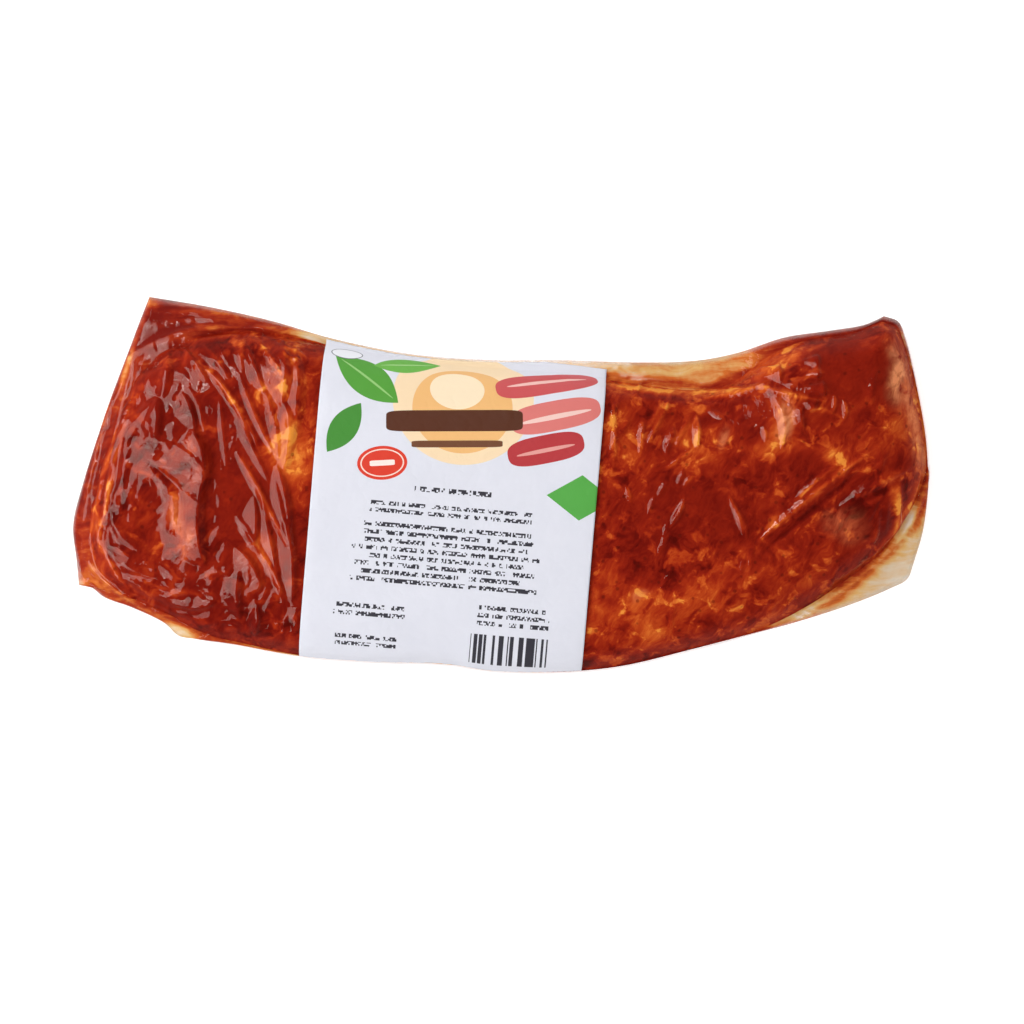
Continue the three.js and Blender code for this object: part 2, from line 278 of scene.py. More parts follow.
def grid_quads(rings, long, end):
    """Quads, facing up, of so many rings and of the field of long by end cells inside them."""
    around = 2 * (long + end)
    first = rings * around
    row, column = np.mgrid[0:long, 0:end]
    at = first + row * (end + 1) + column
    cells = np.stack([at, at + 1, at + end + 2, at + end + 1], -1).reshape(-1, 4)
    row, column = field_border(long, end)
    inner = first + row * (end + 1) + column
    outer = first - around + np.arange(around)
    band = np.stack([outer, inner, np.roll(inner, -1), np.roll(outer, -1)], -1)
    return np.vstack([ring_quads(rings, around), band, cells])


def normals_of(points, quads):
    """Unit normals: at each point the sum of its quads' diagonals' cross products."""
    a, b, c, d = (points[quads[:, corner]] for corner in range(4))
    cross = np.cross(c - a, d - b)
    total = np.zeros_like(points)
    for axis in range(3):
        weights = np.repeat(cross[:, axis], 4)
        total[:, axis] = np.bincount(quads.ravel(), weights=weights, minlength=len(points))
    return total / np.maximum(np.linalg.norm(total, axis=1), 1e-9)[:, None]


def hashed(cells, seed):
    """Repeatable random numbers from 0 to 1: whole coordinates times large primes, mixed by shifts."""
    c = cells.astype(np.int64)
    mixed = c[..., 0] * 73856093 ^ c[..., 1] * 19349663 ^ c[..., 2] * 83492791 ^ (seed * 2654435761)
    mixed &= 0xFFFFFFFF
    mixed = ((mixed ^ (mixed >> 15)) * 2246822519) & 0xFFFFFFFF
    mixed = ((mixed ^ (mixed >> 13)) * 3266489917) & 0xFFFFFFFF
    return (mixed ^ (mixed >> 16)) / 2**32


def cloudy(points, size, seed):
    """Noise from -1 to 1: random values at the corners of cubes of that size, blended by 3t^2 - 2t^3."""
    cell = np.floor(points / size)
    t = points / size - cell
    t = t * t * (3 - 2 * t)
    total = np.zeros(len(points))
    for corner in np.ndindex(2, 2, 2):
        weight = np.prod(np.where(corner, t, 1 - t), axis=1)
        total += weight * hashed(cell + corner, seed)
    return 2 * total - 1


def crumple(points, size, seed):
    """Flat facets between creases: distance to the second nearest of scattered spots less the nearest's."""
    cell = np.floor(points / size)
    nearest = np.full(len(points), np.inf)
    second = nearest.copy()
    for offset in np.ndindex(3, 3, 3):
        there = cell + np.array(offset) - 1
        spot = np.stack([hashed(there, seed + axis) for axis in range(3)], -1)
        gap = np.linalg.norm(points / size - there - spot, axis=1)
        second = np.minimum(second, np.maximum(nearest, gap))
        nearest = np.minimum(nearest, gap)
    return second - nearest


def fold(xy, start, bend, end, rise, left, right):
    """A fold with flat sides along a bent line, a quadratic Bezier curve with its middle control point.

    Its height is rise t p, with the taper t = sin(pi s)^0.6 along the line and p = 1 - r / (w t) or 0,
    rounded a little: r is the distance from the line, and w the width of its left or its right side.
    """
    s = np.linspace(0, 1, 15)[:, None]
    start, bend, end = (np.array(p, float) + shift for p in (start, bend, end))
    line = (1 - s) ** 2 * start + 2 * s * (1 - s) * bend + s**2 * end
    margin = max(left, right) + 1.5
    near = np.flatnonzero(((xy > line.min(0) - margin) & (xy < line.max(0) + margin)).all(1))
    height = np.zeros(len(xy))
    step = np.diff(line, axis=0)
    away = xy[near][:, None] - line[:-1]
    share = np.clip((away * step).sum(-1) / (step**2).sum(-1), 0, 1)
    off = away - share[..., None] * step
    gap = np.linalg.norm(off, axis=-1)
    best = gap.argmin(1)
    row = np.arange(len(near))
    gap, share = gap[row, best], (best + share[row, best]) / len(step)
    off, step = off[row, best], step[best]
    width = np.where(step[:, 0] * off[:, 1] > step[:, 1] * off[:, 0], left, right)
    taper = np.maximum(np.sin(np.pi * share), 0) ** 0.6 + 0.02
    side = 1 - (np.sqrt(gap**2 + 0.2**2) - 0.2) / (width * taper)
    height[near] = rise * taper * (side + np.sqrt(side**2 + 0.004) - 0.03) / 2
    height[near] *= side > -1
    return height


# The photo's scale at the height of the seam, and its pixel at the origin of the outlines above
MM_PER_PIXEL = 0.4434
ORIGIN_PIXEL = (500.5, 484.5)

# The bag's single folds, read off the photo: start, middle control point and end in its pixels,
# rise in mm, and widths left and right of it in pixels
SINGLE_FOLDS = [
    # rope over the upper left edge of the rack
    ((122, 363), (175, 327), (247, 328), 2.4, 6, 3),
    ((243, 328), (285, 330), (328, 346), 2.4, 6, 3),
    ((136, 354), (185, 340), (246, 336), 1.2, 4, 4),
    ((150, 318), (180, 306), (250, 318), 0.9, 6, 3),
    ((140, 330), (176, 316), (236, 322), 0.8, 4, 3),
    # the upper left shoulder
    ((170, 350), (174, 378), (164, 402), 2, 5, 18),
    ((150, 352), (146, 366), (136, 384), 0.8, 3, 8),
    ((182, 346), (198, 362), (211, 384), 1.8, 3, 11),
    ((206, 348), (222, 360), (233, 382), 0.8, 3, 5),
    ((184, 394), (199, 410), (199, 436), 2, 3, 14),
    ((160, 398), (164, 420), (158, 442), 3.2, 5, 26),
    ((138, 358), (141, 380), (133, 404), 2.3, 22, 4),
    ((126, 398), (130, 420), (122, 448), 2, 20, 4),
    ((190, 388), (206, 404), (207, 436), 0.5, 3, 3),
    # the head of the swirl, its neck and the column below it
    ((140, 454), (168, 428), (210, 470), 1, 3, 8),
    ((194, 430), (216, 458), (203, 502), 4.9, 8, 48),
    ((142, 456), (160, 470), (184, 492), -1.1, 4, 3),
    ((160, 474), (190, 500), (172, 536), 1.3, 3, 12),
    ((180, 484), (178, 510), (180, 538), 0.5, 3, 4),
    ((204, 484), (196, 524), (208, 566), 4.2, 8, 36),
    # the dark hollow's rim and the small folds in it
    ((112, 512), (122, 540), (164, 566), 1.2, 8, 5),
    ((126, 486), (118, 500), (128, 524), 0.7, 3, 4),
    ((136, 484), (134, 500), (140, 512), 0.7, 3, 5),
    ((134, 490), (146, 500), (148, 514), 0.5, 3, 4),
    ((147, 532), (152, 524), (158, 526), 0.4, 2, 3),
    # down the left edge
    ((120, 362), (104, 420), (80, 530), 1.5, 3, 6),
    ((132, 362), (116, 430), (88, 548), 1.2, 3, 6),
    ((140, 376), (122, 440), (100, 556), 1.5, 3, 6),
    ((124, 428), (116, 455), (118, 470), 1.2, 3, 8),
    ((132, 440), (126, 470), (128, 500), 1.2, 3, 8),
    ((112, 470), (108, 500), (110, 520), 1, 3, 6),
    ((104, 470), (98, 510), (104, 556), 1, 3, 6),
    # bands along the lower left edge
    ((96, 520), (104, 560), (130, 590), 1, 5, 3),
    ((106, 540), (126, 560), (178, 568), 1.2, 4, 9),
    ((120, 560), (142, 580), (204, 586), 1.2, 4, 9),
    ((128, 578), (160, 600), (206, 606), 1.2, 4, 9),
    ((100, 578), (130, 600), (176, 622), 1.2, 7, 4),
    ((84, 560), (110, 592), (150, 612), 1, 5, 3),
    ((166, 598), (188, 588), (206, 598), 1.2, 5, 3),
    ((204, 592), (212, 590), (218, 598), 0.8, 3, 4),
    ((172, 602), (204, 616), (220, 598), 1.6, 10, 4),
    ((206, 578), (218, 570), (232, 572), 0.7, 3, 5),
    # long folds round the rack's end, on the label's side
    ((203, 366), (244, 402), (258, 456), 1.2, 3, 5),
    ((214, 372), (250, 412), (264, 458), 1, 3, 4),
    ((240, 420), (258, 448), (272, 484), 0.9, 3, 7),
    ((240, 452), (262, 484), (290, 550), 1.3, 3, 6),
    ((262, 478), (272, 540), (286, 606), 1.3, 3, 9),
    ((256, 540), (276, 570), (288, 600), 0.9, 3, 6),
    ((222, 400), (226, 430), (230, 470), 0.5, 3, 4),
    # a fan from the pinch on the upper edge
    ((247, 334), (242, 350), (245, 376), 1, 3, 6),
    ((246, 342), (256, 366), (268, 396), 1.4, 3, 12),
    ((252, 332), (270, 356), (284, 376), 0.9, 3, 4),
    ((242, 374), (256, 420), (277, 456), 1, 4, 5),
    ((268, 392), (280, 420), (282, 460), 0.9, 3, 10),
    ((248, 334), (262, 350), (264, 360), 0.6, 3, 4),
    # a small loop beside the label's corner
    ((281, 349), (297, 350), (308, 360), 1, 2, 4),
    ((283, 352), (288, 364), (306, 360), 1, 3, 2),
    ((304, 346), (298, 350), (296, 358), 0.8, 2, 4),
    # beside the label on its left
    ((284, 340), (290, 372), (283, 408), 2.6, 7, 24),
    ((298, 354), (304, 392), (295, 442), 2.3, 8, 18),
    ((286, 404), (297, 436), (287, 474), 2, 7, 18),
    ((279, 466), (292, 500), (294, 548), 2.1, 5, 15),
    ((288, 520), (298, 560), (296, 604), 2.1, 5, 14),
    ((278, 480), (284, 510), (290, 548), 0.8, 3, 8),
    # loops between the column and the label's lower left corner
    ((256, 498), (262, 520), (258, 545), 2, 3, 13),
    ((240, 516), (252, 530), (262, 556), 1, 3, 8),
    ((236, 548), (260, 560), (264, 592), 2.2, 3, 16),
    ((242, 572), (238, 592), (242, 618), 2.6, 4, 15),
    ((264, 572), (268, 592), (246, 592), 1, 3, 6),
    ((256, 600), (264, 620), (254, 638), 2, 3, 10),
    ((226, 630), (232, 624), (238, 632), 0.7, 2, 5),
    ((300, 606), (302, 620), (299, 634), 1.8, 2, 10),
    # long creases across the right end
    ((754, 546), (806, 496), (870, 450), 1.25, 6, 5),
    ((764, 550), (814, 504), (872, 460), -0.9, 4, 4),
    ((790, 502), (814, 482), (842, 460), 0.95, 5, 4),
    ((832, 512), (866, 484), (908, 468), 1.35, 7, 5),
    ((840, 512), (872, 494), (906, 480), -0.8, 5, 4),
    # the loose film's turn round the rack's lower right, a double rope
    ((928, 462), (924, 524), (860, 576), 2.2, 5, 5),
    ((920, 474), (910, 520), (866, 562), 1.4, 5, 5),
    ((868, 570), (836, 598), (800, 614), 1.5, 4, 4),
    ((896, 478), (900, 510), (894, 540), 1.1, 3, 5),
    # small folds where the rack's upper edge bends in
    ((604, 384), (660, 398), (748, 390), 1.2, 5, 4),
    ((700, 398), (730, 398), (766, 384), 1.3, 5, 4),
    ((777, 366), (779, 374), (777, 382), 2, 3, 26),
    ((752, 386), (784, 398), (822, 404), 1.2, 4, 4),
    ((819, 384), (821, 391), (818, 398), 2.4, 3, 34),
    ((815, 356), (817, 363), (814, 371), 1.8, 3, 20),
    ((814, 370), (816, 376), (813, 382), 1.6, 3, 16),
    ((812, 400), (813, 406), (806, 414), 2, 3, 22),
    ((799, 410), (797, 420), (801, 432), 1.6, 3, 10),
    ((768, 396), (790, 420), (778, 452), 1.5, 4, 8),
    ((838, 400), (846, 412), (838, 424), 1.1, 3, 5),
    ((830, 396), (834, 404), (828, 416), 1, 3, 5),
    ((808, 412), (820, 408), (830, 416), 0.8, 3, 5),
    # short streaks from the label to the right end
    ((669, 402), (658, 418), (648, 444), 1.1, 3, 5),
    ((662, 404), (652, 418), (644, 436), 0.9, 3, 4),
    ((672, 428), (672, 440), (664, 454), 1.4, 3, 7),
    ((695, 414), (699, 434), (694, 450), 1.3, 3, 6),
    ((640, 420), (643, 440), (638, 458), 0.9, 3, 5),
    ((624, 486), (630, 494), (628, 504), 0.8, 2, 5),
    ((683, 498), (679, 514), (668, 530), 1, 3, 5),
    ((726, 496), (736, 512), (742, 538), 1.1, 3, 5),
    ((733, 506), (744, 524), (745, 540), 0.8, 3, 4),
    ((692, 476), (686, 482), (682, 490), 0.7, 2, 4),
    ((706, 412), (716, 414), (724, 422), 1, 3, 5),
    ((612, 400), (616, 430), (612, 478), 0.7, 3, 5),
    ((664, 470), (680, 458), (690, 450), 0.9, 3, 4),
    ((603, 490), (602, 515), (600, 536), 1, 3, 5),
    ((596, 586), (600, 600), (598, 612), 1, 3, 6),
    ((874, 524), (874, 534), (870, 546), 0.9, 3, 5),
    ((760, 428), (764, 436), (762, 444), 0.7, 2, 5),
    ((848, 476), (862, 466), (872, 470), 0.8, 3, 6),
]
# Families of like folds: how many, middle, half spread, direction, half spread of it, length, rise, width
FOLD_FAMILIES = [
    (8, (-170, 10), (6, 24), -112, 8, 34, 0.6, 1.5),
    (8, (-128, 56), (20, 4), -60, 16, 9, 0.7, 1.4),
    (8, (-146, -48), (24, 10), -16, 8, 30, 0.5, 1.8),
    (10, (118, 42), (20, 9), -8, 18, 12, 0.7, 1.5),
    (18, (76, 8), (30, 36), -114, 14, 9, 0.8, 1.3),
    (8, (160, 16), (16, 34), -104, 14, 14, 0.8, 1.5),
    (12, (104, -46), (44, 16), -120, 24, 10, 0.45, 1.4),
]
HUMP, HUMP_SIZE = (-140, 2), (38, 60)  # the left end's hump, which the creases there run round
# On the meat the narrow folds' lighter crests are partly a painted highlight, besides squeezed marinade
NARROW = 2.8  # the widest side of a fold that squeezes the marinade off its crest
LABEL_PRESS = 0.93  # share of the folds that the label presses flat
LOOSE_PRESS = 0.25  # share of the folds that is missing from the loose film
STEEP_SIDE, FLAT_SIDE = 0.7, 1.5  # widths of the families' folds left and right, over the width given
# Rises in mm of facets round the hump, finer ones on them, plain ones elsewhere, small ones and swells
HUMP_RISE, FINE_RISE, PLAIN_RISE, SWELL_RISE = 1.2, 0.25, 0.34, 0.3
SMALL_RISE_LEFT, SMALL_RISE = 0.2, 0.13
MEAN_LEFT, MEAN = 0.5, 0.15  # taken off, so that the creases lie about the smooth form
# Places of the left end with fewer facets: x, y, half widths, turn and the share that is gone
CALM_PLACES = [(-108, 6, 26, 50, 12, 0.9), (-138, -6, 15, 30, 0, 0.75)]


def label_depth(xy):
    """How far points lie inside the label's nearest edge, in mm, and minus that outside it."""
    step = np.roll(LABEL_CORNERS, -1, axis=0) - LABEL_CORNERS
    off = xy[:, None] - LABEL_CORNERS
    reach = (step[:, 1] * off[..., 0] - step[:, 0] * off[..., 1]) / np.linalg.norm(step, axis=1)
    return reach.min(1)


def in_mm(start, bend, end, rise, left, right):
    """A single fold in mm, with its places rounded to 1 mm and its widths to 0.1 mm."""
    path = np.round((np.array([start, bend, end]) - ORIGIN_PIXEL) * (MM_PER_PIXEL, -MM_PER_PIXEL))
    return *path, rise, *np.round(np.array([left, right]) * MM_PER_PIXEL, 1)


def single_folds(xy, widest=math.inf):
    """Height of all single folds that are no wider than widest mm on either side."""
    folds = [in_mm(*reading) for reading in SINGLE_FOLDS]
    return sum(fold(xy, *place) for place in folds if max(place[-2:]) <= widest)


def wrinkles(points, reach):
    """Height of the film's creases over the smooth form: crumpled facets, families of folds and single
    folds. On the left end the facets are drawn out round its hump; under the label all lie flat."""
    xy = points[:, :2]
    rng = np.random.default_rng(41)
    warp = np.stack([cloudy(points, 16, seed) for seed in (11, 12, 13)], -1)
    bent = points + 4 * warp
    left = smooth(-76, -98, xy[:, 0])
    out = (bent[:, :2] - shift - HUMP) / HUMP_SIZE
    far = np.hypot(*out.T)
    around = out / np.maximum(far, 1e-6)[:, None]
    rounds = np.column_stack([16 * around, 45 * far])
    facets = HUMP_RISE * crumple(rounds, 6.5, 21)
    facets += FINE_RISE * crumple(rounds * (1.6, 1.6, 1), 3, 25)
    leaning = bent @ np.array([[0.55, 0.2, 0], [-0.2, 0.9, 0], [0, 0, 0.7]])
    plain = PLAIN_RISE * crumple(leaning, 9, 31)
    small = crumple(bent * (1.2, 0.8, 1), 4.5, 35)
    calm = np.maximum.reduce([gone * bell(xy, *place, 4) for *place, gone in CALM_PLACES])
    height = left * (1 - calm) * (facets + SMALL_RISE_LEFT * small - MEAN_LEFT)
    height += (1 - left) * (plain + SMALL_RISE * small - MEAN)
    height += SWELL_RISE * cloudy(bent, 11, 51)
    height += single_folds(xy)
    for count, middle, spread, turn, turn_spread, length, rise, width in FOLD_FAMILIES:
        for _ in range(count):
            at = np.array(middle) + rng.uniform(-1, 1, 2) * spread
            angle = math.radians(turn + rng.uniform(-1, 1) * turn_spread)
            along = np.array([math.cos(angle), math.sin(angle)])
            half = 0.5 * length * rng.uniform(0.6, 1.4)
            bend = at + rng.uniform(-0.25, 0.25) * length * np.array([-along[1], along[0]])
            size = rng.uniform(0.6, 1.3)
            sides = STEEP_SIDE * width, FLAT_SIDE * width
            height += fold(xy, at - half * along, bend, at + half * along, rise * size, *sides)
    pressed = 1 - LABEL_PRESS * smooth(-6, 1, label_depth(xy))
    return height * pressed * (1 - LOOSE_PRESS + LOOSE_PRESS * smooth(0, 5, reach))


OPENING_SHARE = 0.3  # share of the loose film's width over which the two films part
loose_shares = np.arange(LOOSE_RINGS) / LOOSE_RINGS
body_shares = (np.arange(BODY_RINGS) / BODY_RINGS) ** RING_CROWDING
core = field_points()
core_border = core[field_border(LONG, END)]
top_xy = np.vstack([
    rings_between(bag_edge, rack_edge, loose_shares),
    rings_between(rack_edge, core_border, body_shares),
    core.reshape(-1, 2),
])
loose_count, body_count = LOOSE_RINGS * AROUND, len(top_xy) - LOOSE_RINGS * AROUND
top_quads = grid_quads(LOOSE_RINGS + BODY_RINGS, LONG, END)
shut = np.ones(len(top_xy))
shut[:loose_count] = smooth(0, OPENING_SHARE, np.repeat(loose_shares, AROUND))
top_reach = reach_in(top_xy, fine_edge)
top_reach[:loose_count] = np.minimum(top_reach[:loose_count], 0)
top_reach[loose_count:] = np.maximum(top_reach[loose_count:], 1e-6)
top_form = np.column_stack([top_xy, top_height(top_xy, top_reach, shut)])
top_normals = normals_of(top_form, top_quads)
top_film = top_form + top_normals * (wrinkles(top_form, top_reach) * shut)[:, None]
body_form, body_normals, body_reach = (values[loose_count:] for values in (top_film, top_normals, top_reach))

FILM_GAP = 0.45  # from the film's middle down to the meat
GRAIN_DEPTH = 0.4
RIM_DROP = 0.3  # from the seam down to the edge of the meat's underside
# The underside's rings: how they crowd to the rim, and how far in they go
BASE_RINGS, BASE_CROWDING, BASE_SPAN = 12, 1.3, 0.75


def base_height(reach):
    """Height of the underside: a quarter circle up to the seam over BASE_ROUND, and flat inside it."""
    left = 1 - np.clip(reach / BASE_ROUND, 0, 1)
    return (SEAM_HEIGHT - FILM_PAIR / 2) * (1 - np.sqrt(1 - left * left))


def meat_points():
    """The meat's top, which the grain sinks below the film, and rings of its underside down to the flat."""
    grain = 0.5 + 0.5 * cloudy(body_form * (0.7, 1.3, 1), 3.4, 61) * cloudy(body_form, 9, 62)
    sink = FILM_GAP + GRAIN_DEPTH * grain * smooth(0, 3, body_reach)
    top = body_form - body_normals * sink[:, None]
    shares = (np.arange(1, BASE_RINGS + 1) / BASE_RINGS) ** BASE_CROWDING * BASE_SPAN
    rings = rings_between(rack_edge, core_border, shares)
    base = np.column_stack([rings, base_height(reach_in(rings, fine_edge)) + FILM_GAP])
    rim = np.column_stack([top[:AROUND, :2], np.full(AROUND, SEAM_HEIGHT - RIM_DROP)])
    return np.vstack([top, rim, base])


def make_piece(name, points, faces, material, values=None):
    """A smooth mesh object of points in mm, with a number for each point under each name in values."""
    mesh = bpy.data.meshes.new(name)
    mesh.from_pydata((points * MM).tolist(), [], faces)
    mesh.polygons.foreach_set("use_smooth", np.ones(len(mesh.polygons), bool))
    for key, numbers in (values or {}).items():
        layer = mesh.attributes.new(key, "FLOAT", "POINT")
        layer.data.foreach_set("value", np.ascontiguousarray(numbers, np.float32))
    mesh.materials.append(material)
    piece = bpy.data.objects.new(name, mesh)
    bpy.context.scene.collection.objects.link(piece)
    return piece


def paint(red, green, blue):
    """A colour as shader sockets take it, from its screen values of 0 to 255."""
    screen = np.array([red, green, blue]) / 255
    linear = np.where(screen <= 0.04045, screen / 12.92, ((screen + 0.055) / 1.055) ** 2.4)
    return (*linear.tolist(), 1)


def add(tree, kind, sockets=None, **settings):
    """Adds a node; sockets gives its inputs, by name or number, a value or another node's output."""
    made = tree.nodes.new(kind)
    for key, value in settings.items():
        setattr(made, key, value)
    for key, value in (sockets or {}).items():
        if isinstance(value, bpy.types.NodeSocket):
            tree.links.new(value, made.inputs[key])
        else:
            made.inputs[key].default_value = value
    return made


def math_of(tree, operation, *values, clamp=False):
    """The output of a Math node on values or outputs."""
    sockets = dict(enumerate(values))
    return add(tree, "ShaderNodeMath", sockets, operation=operation, use_clamp=clamp).outputs[0]


def swing(tree, value, weight, base, clamp=False):
    """base + weight (value - 0.5): a noise's swing on both sides of a base value."""
    centred = math_of(tree, "SUBTRACT", value, 0.5)
    return math_of(tree, "MULTIPLY_ADD", centred, weight, base, clamp=clamp)


def vector_of(tree, operation, first, second):
    """The output of a Vector Math node on two vectors, or on a vector and a scale."""
    sockets = {0: first, "Scale" if operation == "SCALE" else 1: second}
    return add(tree, "ShaderNodeVectorMath", sockets, operation=operation).outputs[0]


def stretched(tree, place, scale):
    """A place scaled by different factors along X, Y and Z."""
    return vector_of(tree, "MULTIPLY", place, scale)


def mixed(tree, share, first, second):
    """The output of a colour mix: first where share is 0, second where it is 1."""
    return add(tree, "ShaderNodeMix", {0: share, 6: first, 7: second}, data_type="RGBA").outputs[2]


def ramp(tree, value, stops):
    """The output of a colour ramp with straight steps between stops of place and colour."""
    made = add(tree, "ShaderNodeValToRGB", {0: value})
    elements = made.color_ramp.elements
    while len(elements) < len(stops):
        elements.new(0.5)
    for element, (place, colour) in zip(elements, stops):
        element.position = place
        element.color = colour
    return made.outputs[0]


def step_of(tree, value, zero_at, one_at):
    """0 at one value and 1 at the other, smooth between."""
    sockets = {0: value, 1: zero_at, 2: one_at}
    return add(tree, "ShaderNodeMapRange", sockets, interpolation_type="SMOOTHSTEP").outputs[0]


def reading(tree, name):
    """The output of a number that the mesh holds for each point."""
    return add(tree, "ShaderNodeAttribute", attribute_name=name).outputs["Fac"]


def object_place(tree):
    """The output of the place on the object, in metres."""
    return add(tree, "ShaderNodeTexCoord").outputs["Object"]


def noise_of(tree, place, size, detail=3.0, roughness=0.5):
    """Noise from 0 to 1 with features of size mm, at a place given in metres."""
    sockets = {"Vector": place, "Scale": 1 / (size * MM), "Detail": detail, "Roughness": roughness}
    return add(tree, "ShaderNodeTexNoise", sockets).outputs["Fac"]


def warped(tree, place, size, reach):
    """A place moved about by noise with features of size mm, by up to about half of reach mm."""
    sockets = {"Vector": place, "Scale": 1 / (size * MM), "Detail": 1.0}
    moved = add(tree, "ShaderNodeTexNoise", sockets).outputs["Color"]
    moved = vector_of(tree, "SUBTRACT", moved, (0.5, 0.5, 0.5))
    return vector_of(tree, "ADD", place, vector_of(tree, "SCALE", moved, reach * MM))


def new_material(name):
    """An empty material: itself, its node tree and the output's surface socket."""
    material = bpy.data.materials.new(name)
    material.use_nodes = True
    material.node_tree.nodes.clear()
    output = material.node_tree.nodes.new("ShaderNodeOutputMaterial")
    return material, material.node_tree, output.inputs["Surface"]


# The marinade's colours, from where it lies thick to where it is thin over fat
MARINADE = [
    (0.0, paint(88, 10, 4)), (0.2, paint(119, 19, 8)), (0.4, paint(146, 32, 13)),
    (0.55, paint(169, 48, 18)), (0.7, paint(190, 69, 25)), (0.85, paint(211, 95, 36)),
    (1.0, paint(238, 148, 58)),
]
# Bare fat, whose colour also paints the sheen down the right flank
PALE_FAT_AND_SHEEN = paint(234, 146, 96)
SPICE = paint(72, 14, 6)


def meat_material():
    """Mottled marinade: the mesh's fat number, broken up by noise, picks the colour from the ramp.
    Light blots are fat that shows through, and dark ones are thick drops."""
    material, tree, surface = new_material("marinated_meat")
    place = object_place(tree)
    bent = warped(tree, place, 10, 8)
    turned = add(tree, "ShaderNodeVectorRotate", {"Vector": bent, "Angle": -1.0}).outputs[0]
    patches = noise_of(tree, bent, 14, 3, 0.5)
    blots = noise_of(tree, vector_of(tree, "ADD", bent, (0.3, 0.2, 0)), 8, 4, 0.55)
    drops = noise_of(tree, vector_of(tree, "ADD", bent, (0.1, 0.5, 0)), 9, 3, 0.55)
    strokes = noise_of(tree, stretched(tree, turned, (0.5, 1.3, 1)), 5, 4, 0.6)
    grain = noise_of(tree, stretched(tree, turned, (0.7, 1.3, 1)), 1.6, 2)
    mottle = reading(tree, "mottle")
    uneven = swing(tree, strokes, 0.95, swing(tree, patches, 0.6, -0.04))
    uneven = math_of(tree, "MULTIPLY_ADD", step_of(tree, blots, 0.54, 0.65), 0.33, uneven)
    uneven = math_of(tree, "MULTIPLY_ADD", step_of(tree, drops, 0.45, 0.34), -0.22, uneven)
    tone = math_of(tree, "MULTIPLY_ADD", uneven, mottle, reading(tree, "fat"))
    tone = swing(tree, grain, 0.2, tone, clamp=True)
    colour = ramp(tree, tone, MARINADE)
    # The pale number mixes in bare fat, and down the right flank a painted sheen
    pale = math_of(tree, "MULTIPLY", reading(tree, "pale"), swing(tree, strokes, 4.0, 0.8), clamp=True)
    colour = mixed(tree, pale, colour, PALE_FAT_AND_SHEEN)
    spots = add(tree, "ShaderNodeTexVoronoi", {"Vector": place, "Scale": 330})
    chosen = add(tree, "ShaderNodeSeparateColor", {0: spots.outputs["Color"]}).outputs[0]
    rare = math_of(tree, "GREATER_THAN", chosen, 0.86)
    speck = math_of(tree, "MULTIPLY", step_of(tree, spots.outputs["Distance"], 0.34, 0.2), rare)
    colour = mixed(tree, math_of(tree, "MULTIPLY", speck, 0.45), colour, SPICE)
    bump = add(tree, "ShaderNodeBump", {"Strength": 0.4, "Distance": 0.0005, "Height": blots}).outputs[0]
    shader = add(tree, "ShaderNodeBsdfPrincipled", {
        "Base Color": colour, "Roughness": 0.6, "Specular IOR Level": 0.02, "Normal": bump,
    })
    tree.links.new(shader.outputs[0], surface)
    return material


# Where the marinade is thin over fat (above 0) or lies thick (below 0): x, y, half widths, turn, rise
FAT_PATCHES = [
    # the left end, up to the label
    (-91, 14, 10, 20, 8, 0.6), (-88, 48, 10, 12, 10, 0.2), (-99, 42, 8, 13, -30, 0.24),
    (-128, 0, 38, 60, 0, -0.1), (-143, 30, 14, 8, 0, -0.1), (-154, -12, 9, 7, 0, 0.08),
    (-139, -20, 5, 15, 4, 0.36), (-143, 10, 10, 8, -10, 0.12), (-122, 59, 14, 5, -8, -0.1),
    (-182, -28, 8, 14, 15, 0.22), (-106, -30, 8, 6, -30, 0.26), (-108, -56, 40, 14, -6, -0.08),
    (-118, -56, 34, 10, -8, -0.06), (-84, -22, 5, 30, 5, -0.1), (-84, 56, 7, 6, 0, -0.08),
    # beside the label on the right, and on towards the right end
    (54, 18, 7, 17, 0, 0.26), (86, 16, 13, 13, 20, 0.3), (123, 26, 3.6, 11, -10, 0.42),
    (122, 14, 14, 4, 10, 0.3), (148, 14, 7, 4, -20, 0.4), (172, 20, 9, 10, 0, 0.28),
    (155, 50, 18, 18, 0, -0.08), (84, -14, 30, 15, 0, -0.1), (165, -12, 9, 15, 20, -0.22),
    (157, 18, 10, 6, -20, 0.1),
    (183, 32, 5, 42, 9, 0.34), (175, -6, 3, 13, 8, 0.32), (140, -10, 8, 8, 20, 0.04),
    (90, -52, 44, 15, 12, 0.2), (56, -60, 20, 18, 0, 0.2), (52, -44, 10, 10, 0, 0.1),
    (74, -40, 20, 5, -5, -0.08), (138, -40, 20, 8, 40, 0.12), (70, 41, 40, 4, -4, 0.34),
    (122, 52, 12, 5, 25, 0.4),
]
# Fat that lies bare, where the third patch, a band down the right flank, is a painted sheen instead,
# and calm places with less mottling, in the same numbers
PALE_PATCHES = [
    (174, 47, 4.2, 13, 5, 0.68), (124, 27, 2.0, 8, -8, 0.9), (182, 30, 3.4, 26, 9, 0.42),
    (152, -19, 8, 5, 10, 0.16), (97, 20, 3, 5, 0, 0.4),
    (-139, -16, 2.6, 13, 4, 0.2), (62, -49, 5, 3, 0, 0.3), (172, 43, 4, 9, 0, 0.5),
]
SMOOTH_PATCHES = [
    (-112, -8, 20, 28, 0, 0.75), (157, 50, 20, 18, 0, 0.85), (86, -12, 28, 13, 0, 0.65),
    (-130, -52, 40, 14, 0, 0.5), (-148, 34, 26, 22, 0, 0.45), (-82, -24, 6, 34, 0, 0.4),
    (166, -14, 8, 14, 20, 0.5),
]
# The fat between the patches, what each mm of a fold's height adds to it (marinade squeezed off the
# crest and partly a painted highlight along it), and the least mottling
PLAIN_FAT, SQUEEZED_AND_HIGHLIGHT, LEAST_MOTTLE = 0.4, 0.3, 0.15


